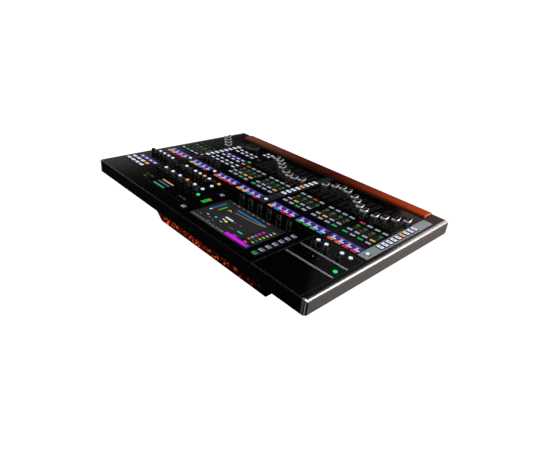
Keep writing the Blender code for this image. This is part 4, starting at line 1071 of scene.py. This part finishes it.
def make_faders():
    """A fine cap for every fader. They share one mesh."""
    spots = fader_spots()
    cap = [spot for spot in spots_of(spots[0][0]) if spot.z > 0]
    half_width = (max(spot.x for spot in cap) - min(spot.x for spot in cap)) / 2
    half = (max(spot.y for spot in cap) - min(spot.y for spot in cap)) / 2
    data = fader_cap_mesh(half_width, half, 1.0, max(spot.z for spot in cap))
    for name, u, v, _ in spots:
        matrix = Matrix.Translation(SLAB @ Vector((u, v, 0.0))) @ SLAB_TURN
        settle(name + "_cap", data, matrix, name, (name,))


# Printing on the deck ----------------------------------------------------------------------------

def frame_outline(mesh, box, width, look, low=0.0, high=PRINT_HEIGHT):
    """A thin frame just inside a box."""
    left, right, front, rear = box
    for outline in (
            (left, right, front, front + width), (left, right, rear - width, rear),
            (left, left + width, front, rear), (right - width, right, front, rear)):
        bar(mesh, *outline, low, high, look)


def strip_plate(mesh, box, window, bars, round_spot, look):
    """A tinted plate beside a bank, open around its keys and its round key, with bars between the keys."""
    left, right, front, rear = box
    inner_left, inner_right, inner_front, inner_rear = window
    u, v = round_spot
    below, above = v - ROUND_HOLE, v + ROUND_HOLE
    plates = [
        (left, right, front, inner_front), (left, inner_left, inner_front, inner_rear),
        (inner_right, right, inner_front, inner_rear), (left, right, inner_rear, below),
        (left, u - ROUND_HOLE, below, above), (u + ROUND_HOLE, right, below, above),
        (left, right, above, rear),
    ]
    half = BEZEL_BAR / 2
    plates += [(inner_left, inner_right, place - half, place + half) for place in bars]
    for plate in plates:
        bar(mesh, *plate, 0.02, PRINT_HEIGHT * 1.5, look)


def make_column_strips():
    """The tinted strips around the three key columns."""
    mesh = bmesh.new()
    for look, node in enumerate(BANK_ROWS):
        column, rounds, _ = bank_areas(node)
        middle = column[0].u
        round_key = min(rounds, key=lambda area: abs(area.u - middle))
        half = column[0].width / 2 + 0.5
        window = (middle - half, middle + half, column[-1].low - 0.8, column[0].high + 0.8)
        bars = [(first.low + second.high) / 2 for first, second in zip(column, column[1:])]
        box = (middle - COLUMN_PLATE_HALF, middle + COLUMN_PLATE_HALF, *COLUMN_PLATE_SPAN)
        strip_plate(mesh, box, window, bars, (round_key.u, round_key.v), look)
    piece("column_strips", mesh, ("strip_light", "strip_dark", "strip_black"))


def make_deck_print():
    """Fader scales, section lines and small dashes, as thin raised print."""
    bright, dim, band = range(3)
    mesh = bmesh.new()

    def line(left, right, front, rear, look):
        bar(mesh, left, right, front, rear, 0.0, PRINT_HEIGHT, look)

    for _, u, _, middle in fader_spots():
        for side in (-1, 1):
            outline = rounded(u + side * 4.2, middle, 4.8, FADER_TRAVEL + 8, 2.0)
            slab_block(mesh, outline, 0.0, 0.04, band)
        for tick in range(11):
            v = middle - FADER_TRAVEL / 2 + FADER_TRAVEL * tick / 10
            reach = 8.4 if tick % 5 == 0 else 7.2
            bar(mesh, u + 4.4, u + reach, v - 0.2, v + 0.2, 0.03, PRINT_HEIGHT, dim)
    glass_low, glass_high = span("screen_glass")
    bay_low, bay_high = span("monitor_bay")
    ends = (glass_low.y - 2.0, glass_high.y + 2.6)
    frame_outline(mesh, (bay_low.x - 1.5, bay_high.x + 3.5, *ends), 0.5, bright)
    frame_outline(mesh, (glass_low.x - 1.2, glass_high.x + 1.6, *ends), 0.4, dim)
    for u in STRIP_LINES:
        line(u - 0.3, u + 0.3, LINE_FRONT, STRIP_LINE_REAR, dim)
    for u in USER_LINES:
        line(u - 0.3, u + 0.3, LINE_FRONT, USER_LINE_REAR, dim)
    for box in SECTION_LINES:
        line(*box, dim)
    for node in ENCODER_BOARDS:
        for area in areas(node):
            line(area.u - 4.0, area.u + 4.0, area.v - 11.4, area.v - 10.6, bright)
    for name in NODES:
        if name.startswith("monitor_knob"):
            spot = knob_spot(name)
            line(spot.x - 14.0, spot.x - 8.5, spot.y - 0.5, spot.y + 0.5, bright)
    piece("deck_print", mesh, ("print_grey", "print_dim", "scale_band"))


def make_bay_details():
    """Strips over the monitor bay's ridges, bright at the left and dark at the right as a painted highlight,
    and its small lamp.
    """
    ridges = areas("monitor_bay", 1.5)
    mesh = bmesh.new()
    for area in ridges:
        outline = rounded(area.u, area.v, area.width + 0.3, area.depth + 0.3, 1.2)
        inner = rounded(area.u, area.v, area.width - 0.9, area.depth - 0.9, 0.9)
        loft(mesh, [(outline, 0.02), (outline, 1.2), (inner, 1.7)])
    v = (ridges[0].v + ridges[1].v) / 2
    u = ridges[0].u + 13.0
    slab_block(mesh, circle(u, v - 6.0, 1.6, 16), 0.0, 0.5, 1)
    bar(mesh, u - 18, u - 10, v - 9.0, v - 8.0, 0.0, 0.1, 2)
    piece("monitor_ridges", mesh, ("ridge_painted_highlight", "lit_orange", "print_grey"), smooth=35.0)


# Housing -----------------------------------------------------------------------------------------

def make_cheek_edges():
    """The cut edge along the top and the rear corner of each cheek: satin, with painted light that fades from
    white at the front to near black at the rear, and a bright outer rim that is a painted highlight with a
    faint glow.
    """
    mesh = bmesh.new()
    edge, rim, lower_edge, deck = range(4)
    for node, side in (("left_end_cheek", -1), ("right_end_cheek", 1)):
        spots = spots_of(node)
        low, high = span(node)
        top = high.z
        outer = max(abs(spot.x) for spot in spots)
        inner = min(abs(spot.x) for spot in spots)
        slope = outer - max(abs(spot.x) for spot in spots if spot.z > top - 0.1)
        front, rear = low.y, high.y - slope

        def slant(share, lift):
            """A place across the cut: share 0 is its inner edge and 1 its outer one."""
            return side * (outer - slope * (1 - share) + lift), top - slope * share + lift

        def corner(share, lift):
            """The same across the rear corner's cut."""
            return side * (outer - slope * share + lift), rear + slope * share + lift

        border = outer - slope - EDGE_BORDER
        for start, end, look in ((inner + 0.1, border, deck), (border, outer - slope, edge)):
            flat = rectangle(side * start, side * end, -0.2, 0.07)
            long_prism(mesh, flat, front, rear, look)
        for first, last, lift, look in (
                (0.0, 0.46, 0.08, edge), (0.42, 0.72, 0.12, rim), (0.70, 1.0, 0.06, lower_edge)):
            places = ((first, lift), (first, -0.3), (last, -0.3), (last, lift))
            long_prism(mesh, [slant(*place) for place in places], front, rear, look)
            outline = [corner(*place) for place in reversed(places)]
            slab_block(mesh, outline, low.z + 0.5, top - slope, look)
    piece("cheek_edges", mesh, ("edge", "rim", "lower_edge", "deck"))


def long_prism(mesh, section, start, end, look=0):
    """A section in the u-w plane, pushed along v."""
    ends = [[mesh.verts.new((u, v, w)) for u, w in section] for v in (start, end)]
    skin(mesh, ends, lambda station, index: look)
    mesh.faces.new(ends[0]).material_index = look
    mesh.faces.new(list(reversed(ends[1]))).material_index = look


def soften(node, width):
    """Round a CAD node's sharp edges."""
    bevel = NODES[node].modifiers.new("soft_edges", "BEVEL")
    bevel.width = width * MM
    bevel.segments = 2
    bevel.limit_method = "ANGLE"
    bevel.angle_limit = math.radians(40)
    bevel.use_clamp_overlap = True


def make_rear_edge():
    """The lighter line along the deck's rear edge, with a painted glint that changes along it, and the seam
    under it.
    """
    half, rear, _ = span("top_deck")[1]
    mesh = bmesh.new()
    bar(mesh, -half, half, rear - 0.7, rear + 0.12, -1.0, 0.12, 0)
    bar(mesh, -half, half, rear - 0.2, rear + 0.1, -3.3, -2.6, 1)
    piece("rear_edge_painted_glint", mesh, ("edge_line", "hollow"))


def make_wood_top():
    """The armrest as a smooth rounded bar."""
    (left, front, bottom), (right, back, top) = span("wood_armrest")
    radius = 10.0
    section = [(front + 1.0, bottom), (back - 0.6, bottom), (back, bottom + 0.6)]
    section += [(back, top - 0.8), (back - 0.3, top - 0.2), (back - 1.0, top)]
    for step in range(13):
        turn = math.pi / 2 * (1 + step / 12)
        section.append((front + radius + radius * math.cos(turn), top - radius + radius * math.sin(turn)))
    section.append((front, bottom + 1.0))
    mesh = bmesh.new()
    stations = [(left, 0.93), (left + 1.2, 1.0)]
    middle_v, middle_w = (front + back) / 2, (top + bottom) / 2
    ends = [(left + right - u, scale) for u, scale in reversed(stations)]
    inner = [(left + (right - left) * index / 12, 1.0) for index in range(1, 12)]
    loops = []
    for u, scale in stations + inner + ends:
        loop = [(middle_v + (v - middle_v) * scale, middle_w + (w - middle_w) * scale) for v, w in section]
        loops.append([mesh.verts.new((u, v, w)) for v, w in loop])
    # The band at the left end takes the pale end colour: a painted highlight on its rounded edge.
    skin(mesh, loops, lambda station, index: 1 if station == 0 else 0)
    mesh.faces.new(loops[0])
    mesh.faces.new(loops[-1])
    piece("armrest_bar", mesh, ("wood", "wood_end_highlight"), smooth=35.0, replaces=("wood_armrest",))


# Rear wall ---------------------------------------------------------------------------------------

def round_socket(mesh, area, male):
    """A round socket: a flange plate, a ring, a recess with pins or holes, and a latch."""
    u, v = area.u, area.v
    plate = rounded(u, v, 26.0, 31.0, 3.0)
    loft(mesh, [(plate, 0.02), (plate, 1.0), (rounded(u, v, 25.0, 30.0, 2.6), 1.5)], 0)
    hub = 10.6
    turned(mesh, [(hub + 1.6, 1.4), (hub + 1.6, 2.6), (hub + 1.0, 3.0), (hub, 2.9), (hub - 0.6, 1.7)],
           u, v, 32, 1)
    slab_block(mesh, circle(u, v, hub - 0.4, 28), 1.4, 1.75, 2)
    for degrees in (30, 150, 270):
        turn = math.radians(degrees)
        place = (u + 5.2 * math.cos(turn), v + 5.2 * math.sin(turn))
        if male:
            turned(mesh, [(1.2, 1.6), (1.2, 5.6), (0.6, 6.2)], *place, 12, 3)
        else:
            slab_block(mesh, circle(*place, 1.6, 12), 1.7, 1.95, 3)
    if not male:
        slab_block(mesh, rounded(u, v + 12.4, 6.0, 4.0, 1.2), 1.4, 2.6, 1)
    for side in (-1, 1):
        turned(mesh, [(1.9, 1.4), (1.9, 1.9), (1.1, 2.2)], u + side * 9.5, v - side * 12.5, 12, 1)


def make_connectors():
    """The connectors in the rear wall, over the CAD bodies."""
    found = areas("rear_io_board", 0.6, REAR)
    mesh = bmesh.new()
    sockets = [area for area in found if area.corners == 8 and area.width > 15]
    for row, male in zip(rows_of(sockets), (False, True)):
        for area in row:
            round_socket(mesh, area, male)
    for area in found:
        if area.corners == 8 and area.width <= 15:
            profile = [(6.4, 0.02), (6.4, 1.6), (5.8, 2.4), (4.2, 2.5), (3.3, 1.2), (0.8, 1.0)]
            turned(mesh, profile, area.u, area.v, 24, 1)
            slab_block(mesh, circle(area.u, area.v, 3.1, 16), 0.9, 1.3, 2)
        elif area.corners == 4:
            socket_box(mesh, area)
    names = ("satin", "shell", "hollow", "pin")
    piece("rear_connectors", mesh, names, REAR, smooth=35.0)


def socket_box(mesh, area):
    """A rectangular socket: a rim around a dark mouth with contacts in it."""
    u, v, width, depth = area.u, area.v, area.width, area.depth
    outer = rounded(u, v, width + 3.0, depth + 3.0, 1.6)
    lip = rounded(u, v, width + 2.0, depth + 2.0, 1.2)
    loft(mesh, [(outer, 0.02), (outer, 0.9), (lip, 1.3)], 1)
    slab_block(mesh, rounded(u, v, width - 2.0, depth - 2.6, 1.0), 1.0, 1.45, 2)
    count = 3 if width > 30 else 8
    for index in range(count):
        across = u + (index - (count - 1) / 2) * (width - 5.0) / count
        bar(mesh, across - 0.4, across + 0.4, v - 1.5, v + 2.5, 1.4, 1.6, 3)


def make_rear_details():
    """Panel screws, a row of vent slots and the amber lamp strip under the slab's rear overhang."""
    mesh = bmesh.new()
    low, high = span("rear_panel", REAR)
    side, top, bottom = high.x - 10, high.y - 9, low.y + 11
    for across, up in (
            (-side, top), (side, top), (-150, top + 1), (60, top + 1), (-222, bottom), (214, bottom)):
        turned(mesh, [(3.2, 0.02), (3.0, 0.9), (1.6, 1.5)], across, up, 16, 0)
    for index in range(14):
        slab_block(mesh, rounded(244.0 + 4.0 * index, 96.0, 2.2, 26.0, 1.0), 0.02, 0.12, 1)
    piece("rear_screws_and_vents", mesh, ("shell", "hollow"), REAR, smooth=35.0)
    mesh = bmesh.new()
    under = span("slab_tray")[0].z
    for index in range(26):
        slab_block(mesh, circle(17.5 * index - 150.0, 222.0, 1.6, 12), under - 1.0, under - 0.1)
    piece("patch_lamps", mesh, ("patch_amber",), smooth=35.0)


def make_switch():
    """The mains rocker and the frame around it."""
    low, high = span("power_switch", REAR)
    mesh = bmesh.new()
    box = (low.x - 2.4, high.x + 2.4, low.y - 2.4, high.y + 2.4)
    frame_outline(mesh, box, 1.7, 0, 0.02, 1.6)
    piece("switch_surround", mesh, ("plastic",), REAR, smooth=35.0)
    dress("power_switch", "plastic")
    soften("power_switch", 0.3)


# Stage -------------------------------------------------------------------------------------------

def make_world():
    """A studio that is white to the camera and dark in reflections, but for a bright wall on the right."""
    world = bpy.data.worlds.new("studio")
    bpy.context.scene.world = world
    world.use_nodes = True
    nodes, links = world.node_tree.nodes, world.node_tree.links
    path = nodes.new("ShaderNodeLightPath")
    place = nodes.new("ShaderNodeTexCoord")
    split = nodes.new("ShaderNodeSeparateXYZ")
    lean = nodes.new("ShaderNodeMath")
    lean.operation = "SUBTRACT"
    wall = nodes.new("ShaderNodeMapRange")
    wall.interpolation_type = "SMOOTHSTEP"
    for name, value in WALL.items():
        wall.inputs[name].default_value = value
    mix = nodes.new("ShaderNodeMix")
    links.new(place.outputs["Generated"], split.inputs["Vector"])
    links.new(split.outputs["X"], lean.inputs[0])
    links.new(split.outputs["Z"], lean.inputs[1])
    links.new(lean.outputs["Value"], wall.inputs["Value"])
    links.new(path.outputs["Is Camera Ray"], mix.inputs["Factor"])
    links.new(wall.outputs["Result"], mix.inputs[2])
    mix.inputs[3].default_value = 1.0
    links.new(mix.outputs[0], nodes["Background"].inputs["Strength"])
    nodes["Background"].inputs["Color"].default_value = (1.0, 1.0, 1.0, 1.0)


def make_floor():
    """A plain pale floor that stays dark in the console's reflections."""
    mesh = bmesh.new()
    bmesh.ops.create_grid(mesh, x_segments=1, y_segments=1, size=FLOOR_HALF)
    data = bpy.data.meshes.new("floor")
    mesh.to_mesh(data)
    mesh.free()
    link_object("floor", data)
    look = Look("pale_floor", (0.5, 0.5, 0.5), 0.9)
    ray = look.node("ShaderNodeLightPath")
    look.shader.inputs["Emission Color"].default_value = (1.0, 1.0, 1.0, 1.0)
    strength = look.between(ray.outputs["Is Camera Ray"], 0.0, 1.15)
    look.link(strength, look.shader.inputs["Emission Strength"])
    shade = look.between(ray.outputs["Is Camera Ray"], 0.07, 0.02)
    look.link(shade, look.shader.inputs["Base Color"])
    data.materials.append(look.material)


def make_stage():
    """The studio, the floor and the lights."""
    make_world()
    make_floor()
    for values in LIGHTS:
        add_light(*values)


def add_light(name, place, target, size, power, colour):
    """A rectangular soft light aimed at a target."""
    data = bpy.data.lights.new(name, "AREA")
    data.shape = "RECTANGLE"
    data.size, data.size_y = size
    data.energy = power
    data.color = colour
    light = link_object(name, data)
    light.location = place
    light.rotation_euler = (Vector(target) - Vector(place)).to_track_quat("-Z", "Y").to_euler()
    light.visible_camera = False


def make_camera():
    """The camera behind the console's left rear corner, looking down across it."""
    data = bpy.data.cameras.new("camera")
    data.lens = CAMERA_LENS
    data.sensor_width = SENSOR_WIDTH
    camera = link_object("camera", data)
    camera.location = SLAB.translation + Vector(CAMERA_OFFSET)
    camera.rotation_euler = Vector(CAMERA_DIRECTION).to_track_quat("-Z", "Y").to_euler()
    bpy.context.scene.camera = camera
    bpy.context.scene.view_settings.view_transform = "Standard"


def dress_frame():
    """Materials for the CAD nodes that stay in view."""
    for node, look in CAD_LOOKS.items():
        dress(node, look)
    for node in ("lower_chassis", "slab_tray"):
        soften(node, 0.8)


def main():
    """Build every piece."""
    dress_frame()
    make_all_keys()
    make_group_displays()
    make_meters()
    make_lone_displays()
    make_screen()
    make_screen_meter()
    knob = knob_mesh()
    make_turning_knobs(knob)
    make_fixed_knobs(knob)
    make_jog_wheel()
    make_faders()
    make_column_strips()
    make_deck_print()
    make_bay_details()
    make_cheek_edges()
    make_rear_edge()
    make_wood_top()
    make_connectors()
    make_rear_details()
    make_switch()
    make_stage()
    make_camera()


main()
